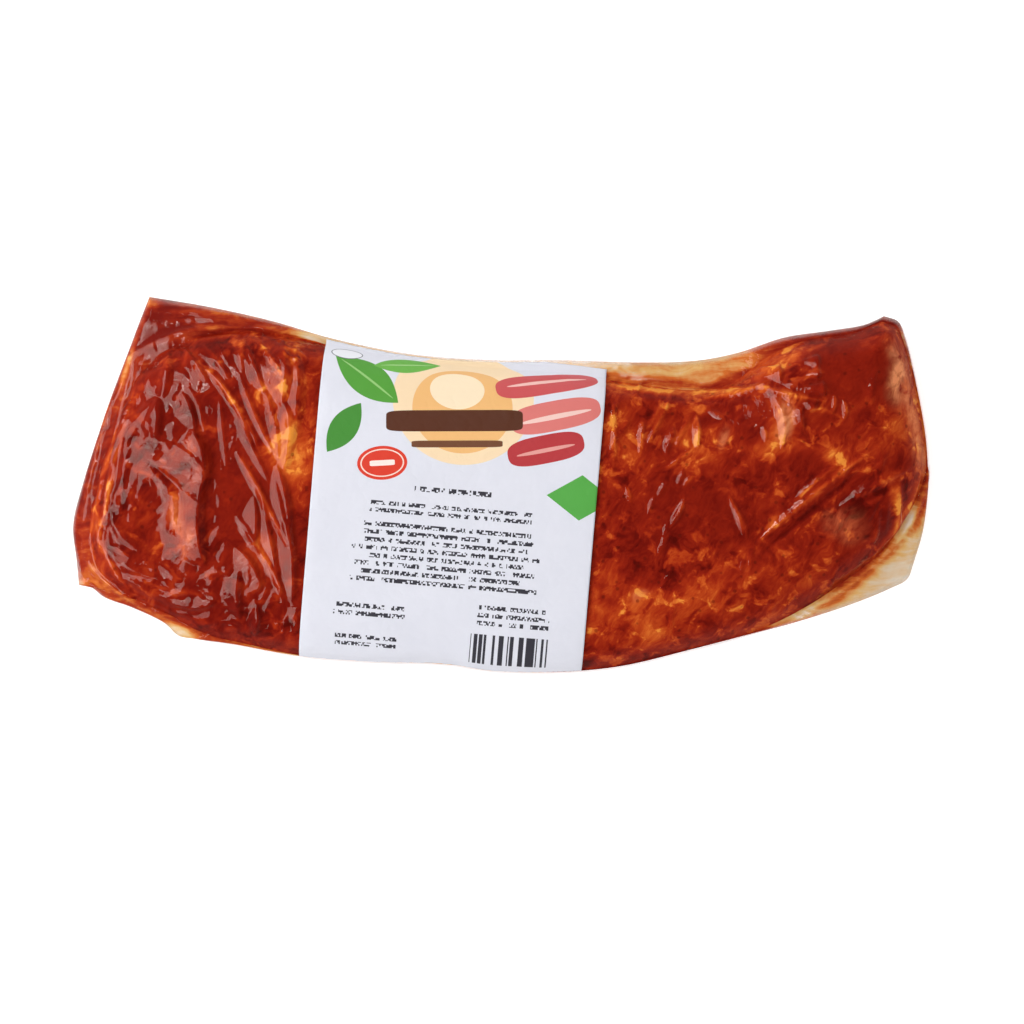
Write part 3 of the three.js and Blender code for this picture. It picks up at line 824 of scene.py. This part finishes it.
def painted_numbers(points):
    """The numbers that the meat's colours read: fat and pale are sums of bells, and mottle is 1 less
    a sum of bells. Noise shifts the bells' edges by a few millimetres. Narrow folds add to fat along
    their crests, partly marinade squeezed off them and partly a painted highlight, and grooves take
    from it."""
    moved = points[:, :2] + 5 * np.stack([cloudy(points, 13, seed) for seed in (71, 72)], -1)
    fat = PLAIN_FAT + sum(rise * bell(moved, *place, 2.6) for *place, rise in FAT_PATCHES)
    # Narrow folds lighten the colour along their crests, partly a painted highlight, and grooves darken it
    fat += SQUEEZED_AND_HIGHLIGHT * single_folds(points[:, :2], NARROW)
    pale = sum(rise * bell(moved, *place, 3) for *place, rise in PALE_PATCHES)
    mottle = 1 - sum(rise * bell(moved, *place, 3) for *place, rise in SMOOTH_PATCHES)
    return {"fat": fat, "pale": pale, "mottle": np.clip(mottle, LEAST_MOTTLE, 1)}


def meat_faces():
    """The meat's top, its underside of rings facing down, the wall between them and the flat sole."""
    top = grid_quads(BODY_RINGS, LONG, END)
    under = ring_quads(BASE_RINGS + 1, AROUND)[:, ::-1] + body_count
    rim = np.arange(AROUND)
    wall = np.column_stack([rim, np.roll(rim, -1), np.roll(rim, -1) + body_count, rim + body_count])
    sole = body_count + BASE_RINGS * AROUND + rim
    return [*np.vstack([top, under, wall]).tolist(), sole.tolist()]


meat_mesh_points = meat_points()
meat = make_piece(
    "marinated_meat", meat_mesh_points, meat_faces(), meat_material(), painted_numbers(meat_mesh_points)
)
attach(meat, "root")
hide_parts("vacuum_pack")

# The marinade caught between the two films round the rack: a thin sheet of liquid, red and thick in
# the upper left corner, orange on the left, and elsewhere pale fat and brine that lets light through.
CLIMBING_RINGS = 2
SHEET_DEPTH, SHEET_SINK = 0.2, 0.6  # under the film, and as much more where it meets the meat
RIM_FREE = 0.06  # share of the outermost ring's width that stays dry

# Where the sheet hides what is under it, and where it is red: x, y, half widths, turn and amount
THICK_PLACES = [
    (-150, 72, 46, 18, -12, 0.6), (-176, 10, 18, 64, -18, 0.6), (-182, -36, 18, 22, 0, 0.5),
    (-88, 68, 22, 7, -14, 0.4), (-140, -62, 44, 10, -16, 0.45), (150, 68, 40, 8, 12, 0.5),
    (98, 54, 24, 10, 12, 0.35), (74, 50, 44, 5, 0, 0.25), (166, -36, 34, 14, 38, 0.5),
    (188, 20, 6, 50, 0, 0.5), (60, -79, 90, 5, 12, 0.6),
]
RED_PLACES = [
    (-146, 70, 46, 18, -14, 0.82), (-178, 12, 16, 60, -18, 0.72), (-184, -34, 10, 18, 0, 0.1),
    (-100, 68, 12, 4, -14, 0.5), (-150, -58, 46, 13, -16, 0.52), (160, 70, 30, 6, 12, 0.8),
    (122, 62, 14, 6, 20, 0.3), (161, -38, 28, 4.5, 42, 0.45), (187, -4, 14, 3, 80, 0.5),
    (74, 50, 46, 6, 0, 0.11), (112, 55, 22, 8, 20, 0.16), (178, -46, 14, 9, 40, -0.1),
    (188, 30, 6, 40, 0, 0.25), (60, -79, 90, 4, 12, 0.7), (-163, 61, 22, 1.6, 73, -0.42),
    (-155, 81, 4, 4, 0, -0.5), (-143, -65, 9, 2.8, -25, -0.5), (-187, -44, 4, 2.5, 0, -0.35),
    (72, 44.5, 40, 3, -6, 0.3), (104, 46.5, 16, 3, 18, 0.3), (183, 58, 20, 3, -76, 0.4),
]
# Both numbers between these places, what the meat's edge adds to the red, and what a fold takes off it
PLAIN_HIDE, PLAIN_RED, RED_BESIDE, RED_SQUEEZED = 0.5, 0.12, 0.12, 0.15


def caught_material():
    """Streaked liquid: its hide number sets how solid it is, and its red number the colour."""
    material, tree, surface = new_material("caught_marinade")
    place = object_place(tree)
    drawn_out = stretched(tree, warped(tree, place, 14, 8), (0.25, 1.9, 1))
    streaks = noise_of(tree, drawn_out, 6, 4, 0.6)
    blots = noise_of(tree, place, 2.6, 3)
    red = reading(tree, "red")
    sway = math_of(tree, "MULTIPLY_ADD", red, 1.1, 0.26)
    uneven = swing(tree, blots, 0.35, swing(tree, streaks, 1.0, 0.0))
    red = math_of(tree, "MULTIPLY_ADD", uneven, sway, red, clamp=True)
    colour = ramp(tree, red, [
        (0.0, paint(233, 216, 194)), (0.2, paint(228, 180, 112)), (0.4, paint(214, 112, 46)),
        (0.6, paint(176, 58, 24)), (0.8, paint(148, 34, 14)), (1.0, paint(122, 20, 8)),
    ])
    uneven = swing(tree, blots, 0.6, swing(tree, streaks, 1.4, -0.6))
    hide = math_of(tree, "MULTIPLY_ADD", reading(tree, "hide"), 2.2, uneven, clamp=True)
    shader = add(tree, "ShaderNodeBsdfPrincipled", {
        "Base Color": colour, "Roughness": 0.6, "Specular IOR Level": 0.02,
    })
    clear = add(tree, "ShaderNodeBsdfTransparent")
    both = add(tree, "ShaderNodeMixShader", {0: hide, 1: clear.outputs[0], 2: shader.outputs[0]})
    tree.links.new(both.outputs[0], surface)
    return material


def caught_points():
    """The sheet's points: just under the loose film, and sinking below the meat's edge."""
    count = (LOOSE_RINGS + CLIMBING_RINGS) * AROUND
    depth = SHEET_DEPTH + SHEET_SINK * smooth(-3, 0, top_reach[:count])
    points = top_film[:count] - depth[:, None] * top_normals[:count]
    points[:AROUND] += RIM_FREE * (points[AROUND:2 * AROUND] - points[:AROUND])
    return points


def caught_numbers(xy, reach):
    """The numbers that the sheet's material reads: sums of bells, and thicker and redder next to the
    meat. Folds squeeze the red off their crests."""
    hide = PLAIN_HIDE + sum(rise * bell(xy, *place, 3) for *place, rise in THICK_PLACES)
    hide = np.minimum(hide, 1)
    red = PLAIN_RED + sum(rise * bell(xy, *place, 3) for *place, rise in RED_PLACES)
    beside = smooth(-3, 0, reach)
    red = red + RED_BESIDE * beside - RED_SQUEEZED * single_folds(xy, NARROW)
    return {"hide": hide + (1 - hide) * beside, "red": red}


sheet_points = caught_points()
sheet_numbers = caught_numbers(sheet_points[:, :2], top_reach[:len(sheet_points)])
sheet_faces = ring_quads(LOOSE_RINGS + CLIMBING_RINGS, AROUND).tolist()
caught = make_piece("caught_marinade", sheet_points, sheet_faces, caught_material(), sheet_numbers)
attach(caught, "root")
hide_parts("vacuum_pack")

# The bag: two clear films of nylon and polythene, sealed together at their edges and drawn down by the
# vacuum. They mirror the lights in sharp patches, and are a little hazy at the seal.
FILM_INDEX = 1.5
FILM_HAZE, SEAL_HAZE, BASE_HAZE = 0.004, 0.25, 0.03
SEAL_FULL, SEAL_END = 0.4, 2.4  # from the bag's edge to where the seal's haze starts to fade and ends
BASE_FILM_RINGS = 16


def new_group(name, inputs, output):
    """An empty shader group: itself, its inputs' sockets by name, and the socket of its one number."""
    group = bpy.data.node_groups.new(name, "ShaderNodeTree")
    for key, kind in inputs.items():
        group.interface.new_socket(key, in_out="INPUT", socket_type="NodeSocket" + kind)
    group.interface.new_socket(output, in_out="OUTPUT", socket_type="NodeSocketFloat")
    source = group.nodes.new("NodeGroupInput").outputs
    return group, source, group.nodes.new("NodeGroupOutput").inputs[output]


def crinkle_group():
    """A shader group whose height is fine crumpling, for the film and for what is stuck on it."""
    group, source, result = new_group("film_crinkle", {"Place": "Vector"}, "Height")
    bent = warped(group, source["Place"], 7, 5)
    facets = add(group, "ShaderNodeTexVoronoi", {"Vector": bent, "Scale": 210}, feature="DISTANCE_TO_EDGE")
    height = math_of(group, "MULTIPLY_ADD", facets.outputs[0], 0.5, noise_of(group, bent, 6, 2))
    group.links.new(height, result)
    return group


def crinkled(tree, place, strength, distance):
    """The normal of a surface with the film's fine crumpling on it."""
    height = add(tree, "ShaderNodeGroup", {"Place": place}, node_tree=crinkle).outputs[0]
    sockets = {"Strength": strength, "Distance": distance, "Height": height}
    return add(tree, "ShaderNodeBump", sockets).outputs[0]


crinkle = crinkle_group()


def film_material():
    """Clear film: a sharp mirror over a clear sheet, shared out by Fresnel's law, and a haze over both.
    Fresnel takes the index of what lies ahead, so the back gets its inverse: both sides mirror alike."""
    material, tree, surface = new_material("clear_film")
    place = object_place(tree)
    normal = crinkled(tree, place, 0.4, 0.0006)
    behind = add(tree, "ShaderNodeNewGeometry").outputs["Backfacing"]
    index = math_of(tree, "MULTIPLY_ADD", behind, 1 / FILM_INDEX - FILM_INDEX, FILM_INDEX)
    share = add(tree, "ShaderNodeFresnel", {"IOR": index, "Normal": normal}).outputs[0]
    warm = (1, 0.91, 0.81, 1)
    gloss = add(tree, "ShaderNodeBsdfGlossy", {"Color": warm, "Roughness": 0.045, "Normal": normal})
    clear = add(tree, "ShaderNodeBsdfTransparent")
    sheet = add(tree, "ShaderNodeMixShader", {0: share, 1: clear.outputs[0], 2: gloss.outputs[0]})
    cloud = swing(tree, noise_of(tree, place, 7, 3, 0.6), 1.4, 1.0)
    haze = math_of(tree, "MULTIPLY", reading(tree, "haze"), cloud)
    white = add(tree, "ShaderNodeBsdfDiffuse", {"Color": paint(232, 226, 220)})
    both = add(tree, "ShaderNodeMixShader", {0: haze, 1: sheet.outputs[0], 2: white.outputs[0]})
    tree.links.new(both.outputs[0], surface)
    return material


def base_film():
    """The lower film: points and faces on every second line of the upper film's grid."""
    loose = top_form[:loose_count].reshape(LOOSE_RINGS, AROUND, 3)[:, ::2].copy()
    loose[..., 2] -= FILM_PAIR * shut[:loose_count].reshape(LOOSE_RINGS, AROUND)[:, ::2] + SEAL_GAP
    shares = (np.arange(BASE_FILM_RINGS) / BASE_FILM_RINGS) ** RING_CROWDING
    xy = np.vstack([rings_between(rack_edge[::2], core_border[::2], shares), core[::2, ::2].reshape(-1, 2)])
    under = np.column_stack([xy, base_height(np.maximum(reach_in(xy, fine_edge), 0))])
    quads = grid_quads(LOOSE_RINGS + BASE_FILM_RINGS, LONG // 2, END // 2)
    return np.vstack([loose.reshape(-1, 3), under]), quads[:, ::-1]


film = film_material()
strip = np.linalg.norm(bag_edge - rack_edge, axis=1) * loose_shares[:, None]
haze = np.zeros(len(top_film))
haze[:loose_count] = FILM_HAZE + SEAL_HAZE * smooth(SEAL_END, SEAL_FULL, strip.ravel())
film_top = make_piece("film_top", top_film, top_quads.tolist(), film, {"haze": haze})
base_points, base_quads = base_film()
film_base = make_piece(
    "film_base", base_points, base_quads.tolist(), film, {"haze": np.full(len(base_points), BASE_HAZE)}
)
for piece in (film_top, film_base):
    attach(piece, "root")
    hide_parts("vacuum_pack")

# The label: a sheet of white plastic paper, printed and stuck on the bag from one long side to the
# other. It follows the rack and ripples where it bends down. Its print is plain fields of colour,
# leaves, bars and strokes in place of words.
LABEL_COLUMNS, LABEL_ROWS = 150, 190
LABEL_GAP, LABEL_THICKNESS = 0.35, 0.25
LABEL_INSET = 1.2
LABEL_SAMPLES = 700
LABEL_WIDTH, LABEL_MIDDLE = 125, 75


def label_surface():
    """The label's middle sheet as columns of rows, evenly spaced along the surface in each column, and
    how far down the sheet each point is.

    In plan it is the blend (1-a)(1-b) p + a (1-b) q + a b r + (1-a) b s of its corners, cut off short of
    the bag's edge. The way down is measured from each column's middle, which is LABEL_MIDDLE down.
    """
    a = np.linspace(0, 1, LABEL_COLUMNS + 1)[:, None, None]
    b = np.linspace(0, 1, LABEL_SAMPLES)[None, :, None]
    upper_left, upper_right, lower_right, lower_left = LABEL_CORNERS
    plan = (upper_left * (1 - a) + upper_right * a) * (1 - b) + (lower_left * (1 - a) + lower_right * a) * b
    flat = plan.reshape(-1, 2)
    reach = reach_in(flat, fine_edge)
    points = np.column_stack([flat, top_height(flat, reach)]).reshape(*plan.shape[:2], 3)
    inside = ((reach > 0) | (reach_in(flat, bag_edge) > LABEL_INSET)).reshape(plan.shape[:2])
    run = np.linalg.norm(np.diff(points, axis=1), axis=-1)
    length = np.column_stack([np.zeros(LABEL_COLUMNS + 1), np.cumsum(run, axis=1)])
    sheet = np.empty((LABEL_COLUMNS + 1, LABEL_ROWS + 1, 3))
    down = np.empty(sheet.shape[:2])
    for column in range(LABEL_COLUMNS + 1):
        kept = np.flatnonzero(inside[column])[[0, -1]]
        at = np.linspace(*length[column, kept], LABEL_ROWS + 1)
        down[column] = at - length[column, LABEL_SAMPLES // 2] + LABEL_MIDDLE
        for axis in range(3):
            sheet[column, :, axis] = np.interp(at, length[column], points[column, :, axis])
    return sheet, down


def sheet_normals(sheet):
    """Unit normals of a sheet of columns and rows: its slope down the rows cross its slope across."""
    cross = np.cross(np.gradient(sheet, axis=1), np.gradient(sheet, axis=0))
    return cross / np.linalg.norm(cross, axis=-1, keepdims=True)


def label_ripples(sheet):
    """Height of the label's own wrinkles: cloudy all over, and bands across it near the lower edge.
    They fade out at its edges."""
    flat = sheet.reshape(-1, 3)
    down = np.broadcast_to(np.linspace(0, 1, LABEL_ROWS + 1), sheet.shape[:2])
    across = np.broadcast_to(np.linspace(0, 1, LABEL_COLUMNS + 1)[:, None], sheet.shape[:2])
    bands = cloudy(flat * (0.25, 1.5, 1), 9, 81) * smooth(0.6, 0.95, down.ravel())
    soft = cloudy(flat, 17, 82) + 0.35 * cloudy(flat * (1, 0.6, 1), 6, 83)
    creases = np.maximum(0.3 - crumple(flat * (0.8, 1, 1), 15, 84), 0)
    height = (0.35 * bands + 0.16 * soft + 0.28 * creases + 0.15).reshape(sheet.shape[:2])
    border = np.minimum.reduce([down, 1 - down, across, 1 - across])
    return height * smooth(0, 0.03, border)


def print_shape_group():
    """A shader group whose mask is 1 where |x|^p + |y|^q < 1, with x and y measured from the middle,
    turned, and over the half sizes: an ellipse (2, 2), a bar (8, 8), a leaf (2, 1) or a diamond (1, 1)."""
    inputs = dict.fromkeys(("Place", "Middle", "Half Size", "Powers"), "Vector") | {"Turn": "Float"}
    group, source, result = new_group("print_shape", inputs, "Mask")
    off = vector_of(group, "SUBTRACT", source["Place"], source["Middle"])
    sockets = {"Vector": off, "Angle": source["Turn"]}
    turned = add(group, "ShaderNodeVectorRotate", sockets, rotation_type="Z_AXIS").outputs[0]
    scaled = vector_of(group, "DIVIDE", turned, source["Half Size"])
    sides = add(group, "ShaderNodeVectorMath", {0: scaled}, operation="ABSOLUTE").outputs[0]
    side = add(group, "ShaderNodeSeparateXYZ", {0: sides}).outputs
    power = add(group, "ShaderNodeSeparateXYZ", {0: source["Powers"]}).outputs
    total = math_of(
        group, "ADD", math_of(group, "POWER", side[0], power[0]), math_of(group, "POWER", side[1], power[1])
    )
    group.links.new(math_of(group, "LESS_THAN", total, 1.0), result)
    return group


def strokes_group():
    """A shader group whose mask is a block of lines of short strokes, in place of words.

    Each line is one pitch high and is inked over its middle 0.56. It is cut into cells about a fifth of
    a pitch wide and high, inked at random, with random gaps 0.45 pitch wide, and its ends are ragged.
    """
    inputs = dict.fromkeys(("Place", "Middle", "Half Size"), "Vector") | {"Pitch": "Float"}
    group, source, result = new_group("print_strokes", inputs, "Mask")
    pitch = source["Pitch"]
    off = vector_of(group, "SUBTRACT", source["Place"], source["Middle"])
    off = add(group, "ShaderNodeSeparateXYZ", {0: off}).outputs
    half = add(group, "ShaderNodeSeparateXYZ", {0: source["Half Size"]}).outputs
    down = math_of(group, "DIVIDE", math_of(group, "ADD", off[1], half[1]), pitch)
    line = math_of(group, "FLOOR", down)
    level = math_of(group, "FRACT", down)
    inked = math_of(group, "COMPARE", level, 0.5, 0.28)
    along = math_of(group, "DIVIDE", off[0], pitch)

    def chance(across, up, wanted):
        """1 with the wanted chance in each cell of the two whole numbers, and the noise behind it."""
        cell = add(group, "ShaderNodeCombineXYZ", {0: across, 1: up}).outputs[0]
        cell = vector_of(group, "ADD", cell, source["Middle"])
        noise = add(group, "ShaderNodeTexWhiteNoise", {"Vector": cell}).outputs["Value"]
        return math_of(group, "LESS_THAN", noise, wanted), noise

    fine_cell = math_of(group, "FLOOR", math_of(group, "MULTIPLY", along, 5.5))
    fine_level = math_of(group, "FLOOR", math_of(group, "MULTIPLY", down, 4.5))
    letters, _ = chance(fine_cell, fine_level, 0.62)
    gap_cell = math_of(group, "FLOOR", math_of(group, "MULTIPLY", along, 2.2))
    words, _ = chance(gap_cell, math_of(group, "ADD", line, 37), 0.84)
    _, ragged = chance(line, line, 0.5)
    reach = math_of(group, "MULTIPLY", half[0], swing(group, ragged, 0.2, 0.9))
    wide = math_of(group, "LESS_THAN", math_of(group, "ABSOLUTE", off[0]), reach)
    high = math_of(group, "LESS_THAN", math_of(group, "ABSOLUTE", off[1]), half[1])
    mask = inked
    for factor in (letters, words, wide, high):
        mask = math_of(group, "MULTIPLY", mask, factor)
    group.links.new(mask, result)
    return group


ELLIPSE, BAR, LEAF, DIAMOND, SOFT_BAR = (2, 2), (8, 8), (2, 1), (1, 1), (3, 3)
# Fields of the print, from the label's upper left corner across and down: middle, half sizes, turn in
# degrees, kind and colour, each over the ones before it
PRINT_FIELDS = [
    (63, 25, 31, 29, 0, ELLIPSE, (247, 219, 180)), (63, 29, 22, 20, 0, ELLIPSE, (240, 186, 120)),
    (60, 21, 12, 9, 0, ELLIPSE, (250, 228, 194)), (99, 13, 23, 6.6, 16, SOFT_BAR, (206, 86, 88)),
    (99, 12.4, 18, 1, 16, ELLIPSE, (240, 190, 182)), (104, 29, 20, 6.6, 16, SOFT_BAR, (222, 122, 116)),
    (104, 29.6, 16, 1.1, 16, ELLIPSE, (244, 204, 194)), (101, 44, 17, 6.2, 16, SOFT_BAR, (186, 58, 62)),
    (101, 44.5, 13, 0.9, 16, ELLIPSE, (230, 158, 150)), (20, 19, 18, 8, -35, LEAF, (88, 160, 62)),
    (20, 19, 15, 0.5, -35, ELLIPSE, (150, 200, 120)), (37, 9, 15, 5.6, 12, LEAF, (110, 182, 76)),
    (37, 9, 12, 0.4, 12, ELLIPSE, (168, 214, 140)), (12, 42, 13, 6, 60, LEAF, (72, 144, 56)),
    (118, 64, 15, 10, 0, DIAMOND, (88, 170, 74)), (60, 35, 30, 4.6, 5, BAR, (92, 50, 32)),
    (62, 45, 20, 1.5, 5, BAR, (118, 74, 50)), (30, 56, 11, 7.4, 8, ELLIPSE, (222, 62, 42)),
    (30, 56, 9.6, 6.1, 8, ELLIPSE, (248, 222, 210)), (30, 56, 9, 5.6, 8, ELLIPSE, (222, 62, 42)),
    (30, 56, 5.5, 1.2, 8, BAR, (248, 232, 224)), (10, 5.6, 7, 4.2, 0, ELLIPSE, (92, 92, 104)),
    (10, 5.6, 6.6, 3.8, 0, ELLIPSE, (236, 236, 242)),
]
# Blocks of strokes: middle, half sizes and the lines' pitch
PRINT_LINES = [
    (62, 66, 18, 2, 4), (62, 75, 40, 3.2, 3.2), (61, 95, 43, 14, 3.5), (30, 121, 17, 3.4, 3.4),
    (29, 135, 14, 3.4, 3.4), (93, 119, 19, 5, 3.4),
]
# The block of stripes: middle and half sizes, one stripe's width, and the share that is dark
STRIPES = (92, 135, 17, 7.6)
STRIPE_WIDTH, DARK_STRIPES = 0.55, 0.55
INK = paint(58, 56, 64)


def label_material():
    """White satin plastic paper: the print lies on a white with faint clouds in it and in its gloss."""
    material, tree, surface = new_material("label_print")
    place = object_place(tree)
    clouds = noise_of(tree, place, 14, 3)
    colour = mixed(tree, clouds, paint(219, 220, 230), paint(227, 227, 236))
    across, down = reading(tree, "across"), reading(tree, "down")
    spot = add(tree, "ShaderNodeCombineXYZ", {0: across, 1: down}).outputs[0]
    shape, strokes = print_shape_group(), strokes_group()
    for x, y, half_x, half_y, turn, powers, tint in PRINT_FIELDS:
        mask = add(tree, "ShaderNodeGroup", {
            "Place": spot, "Middle": (x, y, 0), "Half Size": (half_x, half_y, 1),
            "Powers": (*powers, 1), "Turn": math.radians(turn),
        }, node_tree=shape).outputs[0]
        colour = mixed(tree, mask, colour, paint(*tint))
    for x, y, half_x, half_y, pitch in PRINT_LINES:
        mask = add(tree, "ShaderNodeGroup", {
            "Place": spot, "Middle": (x, y, 0), "Half Size": (half_x, half_y, 1), "Pitch": pitch,
        }, node_tree=strokes).outputs[0]
        colour = mixed(tree, mask, colour, INK)
    x, y, half_x, half_y = STRIPES
    stripe = math_of(tree, "FLOOR", math_of(tree, "DIVIDE", across, STRIPE_WIDTH))
    dark = add(tree, "ShaderNodeTexWhiteNoise", {"W": stripe}, noise_dimensions="1D").outputs["Value"]
    dark = math_of(tree, "LESS_THAN", dark, DARK_STRIPES)
    dark = math_of(tree, "MULTIPLY", dark, math_of(tree, "COMPARE", across, x, half_x))
    dark = math_of(tree, "MULTIPLY", dark, math_of(tree, "COMPARE", down, y, half_y))
    colour = mixed(tree, dark, colour, INK)
    shader = add(tree, "ShaderNodeBsdfPrincipled", {
        "Base Color": colour, "Roughness": swing(tree, clouds, 0.2, 0.38), "Specular IOR Level": 0.35,
        "Normal": crinkled(tree, place, 0.3, 0.001),
    })
    tree.links.new(shader.outputs[0], surface)
    return material


def sheet_quads(columns, rows):
    """Quads of a sheet of columns of rows that run away from +Y, facing up."""
    column, row = np.mgrid[0:columns, 0:rows]
    at = column * (rows + 1) + row
    return np.stack([at, at + 1, at + rows + 2, at + rows + 1], -1).reshape(-1, 4)


def label_faces():
    """The label's top, its back one sheet of points on, and the cut edge between them."""
    rows, columns = LABEL_ROWS + 1, LABEL_COLUMNS + 1
    rim = np.concatenate([
        np.arange(columns) * rows, (columns - 1) * rows + np.arange(1, rows),
        np.arange(columns - 2, -1, -1) * rows + rows - 1, np.arange(rows - 2, 0, -1),
    ])
    after, back = np.roll(rim, -1), rows * columns
    top = sheet_quads(LABEL_COLUMNS, LABEL_ROWS)
    edge = np.column_stack([rim, after, after + back, rim + back])
    return np.vstack([top, top[:, ::-1] + back, edge])


label_form, down = label_surface()
label_normals = sheet_normals(label_form)
label_height = LABEL_GAP + label_ripples(label_form)
across = np.broadcast_to(np.linspace(0, LABEL_WIDTH, LABEL_COLUMNS + 1)[:, None], down.shape)
back = np.full(across.size, -100)  # the label's back carries no print
label = make_piece(
    "label_sheet",
    np.vstack([
        (label_form + label_normals * (label_height + LABEL_THICKNESS)[..., None]).reshape(-1, 3),
        (label_form + label_normals * label_height[..., None]).reshape(-1, 3),
    ]),
    label_faces().tolist(), label_material(),
    {"across": np.concatenate([across.ravel(), back]), "down": np.concatenate([down.ravel(), back])},
)
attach(label, "root")
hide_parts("label")

# The table, lamps and camera: a white table in soft light from all round, seen from straight above.
# The film mirrors only the lamps on the left, and the white of the table dimly.
TABLE_GAP = 0.4
bpy.ops.mesh.primitive_plane_add(size=6, location=(0, 0, -TABLE_GAP * MM))
table = bpy.context.object
table.name = "table"
material, tree, surface = new_material("white_table")
white = add(tree, "ShaderNodeBsdfDiffuse", {"Color": (0.86, 0.86, 0.86, 1)})
glow = add(tree, "ShaderNodeEmission", {"Color": (1, 1, 1, 1), "Strength": 0.6})
seen = add(tree, "ShaderNodeAddShader", {0: white.outputs[0], 1: glow.outputs[0]})
dim = add(tree, "ShaderNodeEmission", {"Color": (1, 0.9, 0.85, 1), "Strength": 0.12})
mirrored = add(tree, "ShaderNodeLightPath").outputs["Is Glossy Ray"]
both = add(tree, "ShaderNodeMixShader", {0: mirrored, 1: seen.outputs[0], 2: dim.outputs[0]})
tree.links.new(both.outputs[0], surface)
table.data.materials.append(material)


def softbox(name, place, width, height, power, mirrored=True):
    """A rectangular lamp in metres, aimed at the rack; mirrored says whether gloss shows it."""
    data = bpy.data.lights.new(name, "AREA")
    data.shape = "RECTANGLE"
    data.size, data.size_y, data.energy = width, height, power
    lamp = bpy.data.objects.new(name, data)
    bpy.context.scene.collection.objects.link(lamp)
    lamp.location = place
    lamp.rotation_euler = (-Vector(place)).to_track_quat("-Z", "Y").to_euler()
    lamp.visible_glossy = mirrored


softbox("lamp_overhead", (-0.4, 0.2, 2.0), 1.5, 1.5, 4.6, mirrored=False)
softbox("lamp_left", (-0.95, 0.12, 0.87), 1.5, 1.05, 11.5)
softbox("lamp_low_left", (-0.8, -0.62, 0.75), 0.55, 0.5, 1.5)
softbox("lamp_corner", (-0.75, 0.75, 0.75), 0.5, 0.6, 1.4)
softbox("lamp_right", (1.1, 0.0, 0.5), 0.9, 0.6, 3.0, mirrored=False)
softbox("lamp_back", (0.0, 1.1, 0.4), 1.2, 0.4, 1.2, mirrored=False)
softbox("lamp_front", (0.0, -1.1, 0.4), 1.2, 0.4, 1.8, mirrored=False)
softbox("lamp_glint", (-0.55, 0.5, 1.3), 0.2, 0.2, 0.8)

# The room is white to the camera, soft on the pack, and in the film's mirror dark above and pale around
SEEN, SOFT, DARK_ABOVE, PALE_AROUND = 1.0, 0.36, 0.02, 0.08
world = bpy.data.worlds.new("studio")
bpy.context.scene.world = world
world.use_nodes = True
tree = world.node_tree
tree.nodes.clear()
path = add(tree, "ShaderNodeLightPath").outputs
up = add(tree, "ShaderNodeSeparateXYZ", {0: add(tree, "ShaderNodeTexCoord").outputs["Generated"]}).outputs[2]
level = add(tree, "ShaderNodeMapRange", {0: up, 1: 0.05, 2: 0.5, 3: PALE_AROUND, 4: DARK_ABOVE}).outputs[0]
strength = add(tree, "ShaderNodeMix", {0: path["Is Glossy Ray"], 2: SOFT, 3: level}).outputs[0]
strength = add(tree, "ShaderNodeMix", {0: path["Is Camera Ray"], 2: strength, 3: SEEN}).outputs[0]
air = add(tree, "ShaderNodeBackground", {"Color": (1, 1, 1, 1), "Strength": strength})
tree.links.new(air.outputs[0], add(tree, "ShaderNodeOutputWorld").inputs[0])

# The camera's middle in mm, and its lens for the photo's scale at the height of the seam
PICTURE_PIXELS = 1024
VIEW_MIDDLE = (5.1, -12.2)
CAMERA_HEIGHT = 1700
SENSOR_WIDTH = 36
camera_data = bpy.data.cameras.new("camera")
camera_data.sensor_width = SENSOR_WIDTH
camera_data.lens = SENSOR_WIDTH * (CAMERA_HEIGHT - SEAM_HEIGHT) / (PICTURE_PIXELS * MM_PER_PIXEL)
camera_data.clip_end = 20
camera = bpy.data.objects.new("camera", camera_data)
bpy.context.scene.collection.objects.link(camera)
camera.location = (VIEW_MIDDLE[0] * MM, VIEW_MIDDLE[1] * MM, CAMERA_HEIGHT * MM)
bpy.context.scene.camera = camera
bpy.context.scene.view_settings.view_transform = "Standard"
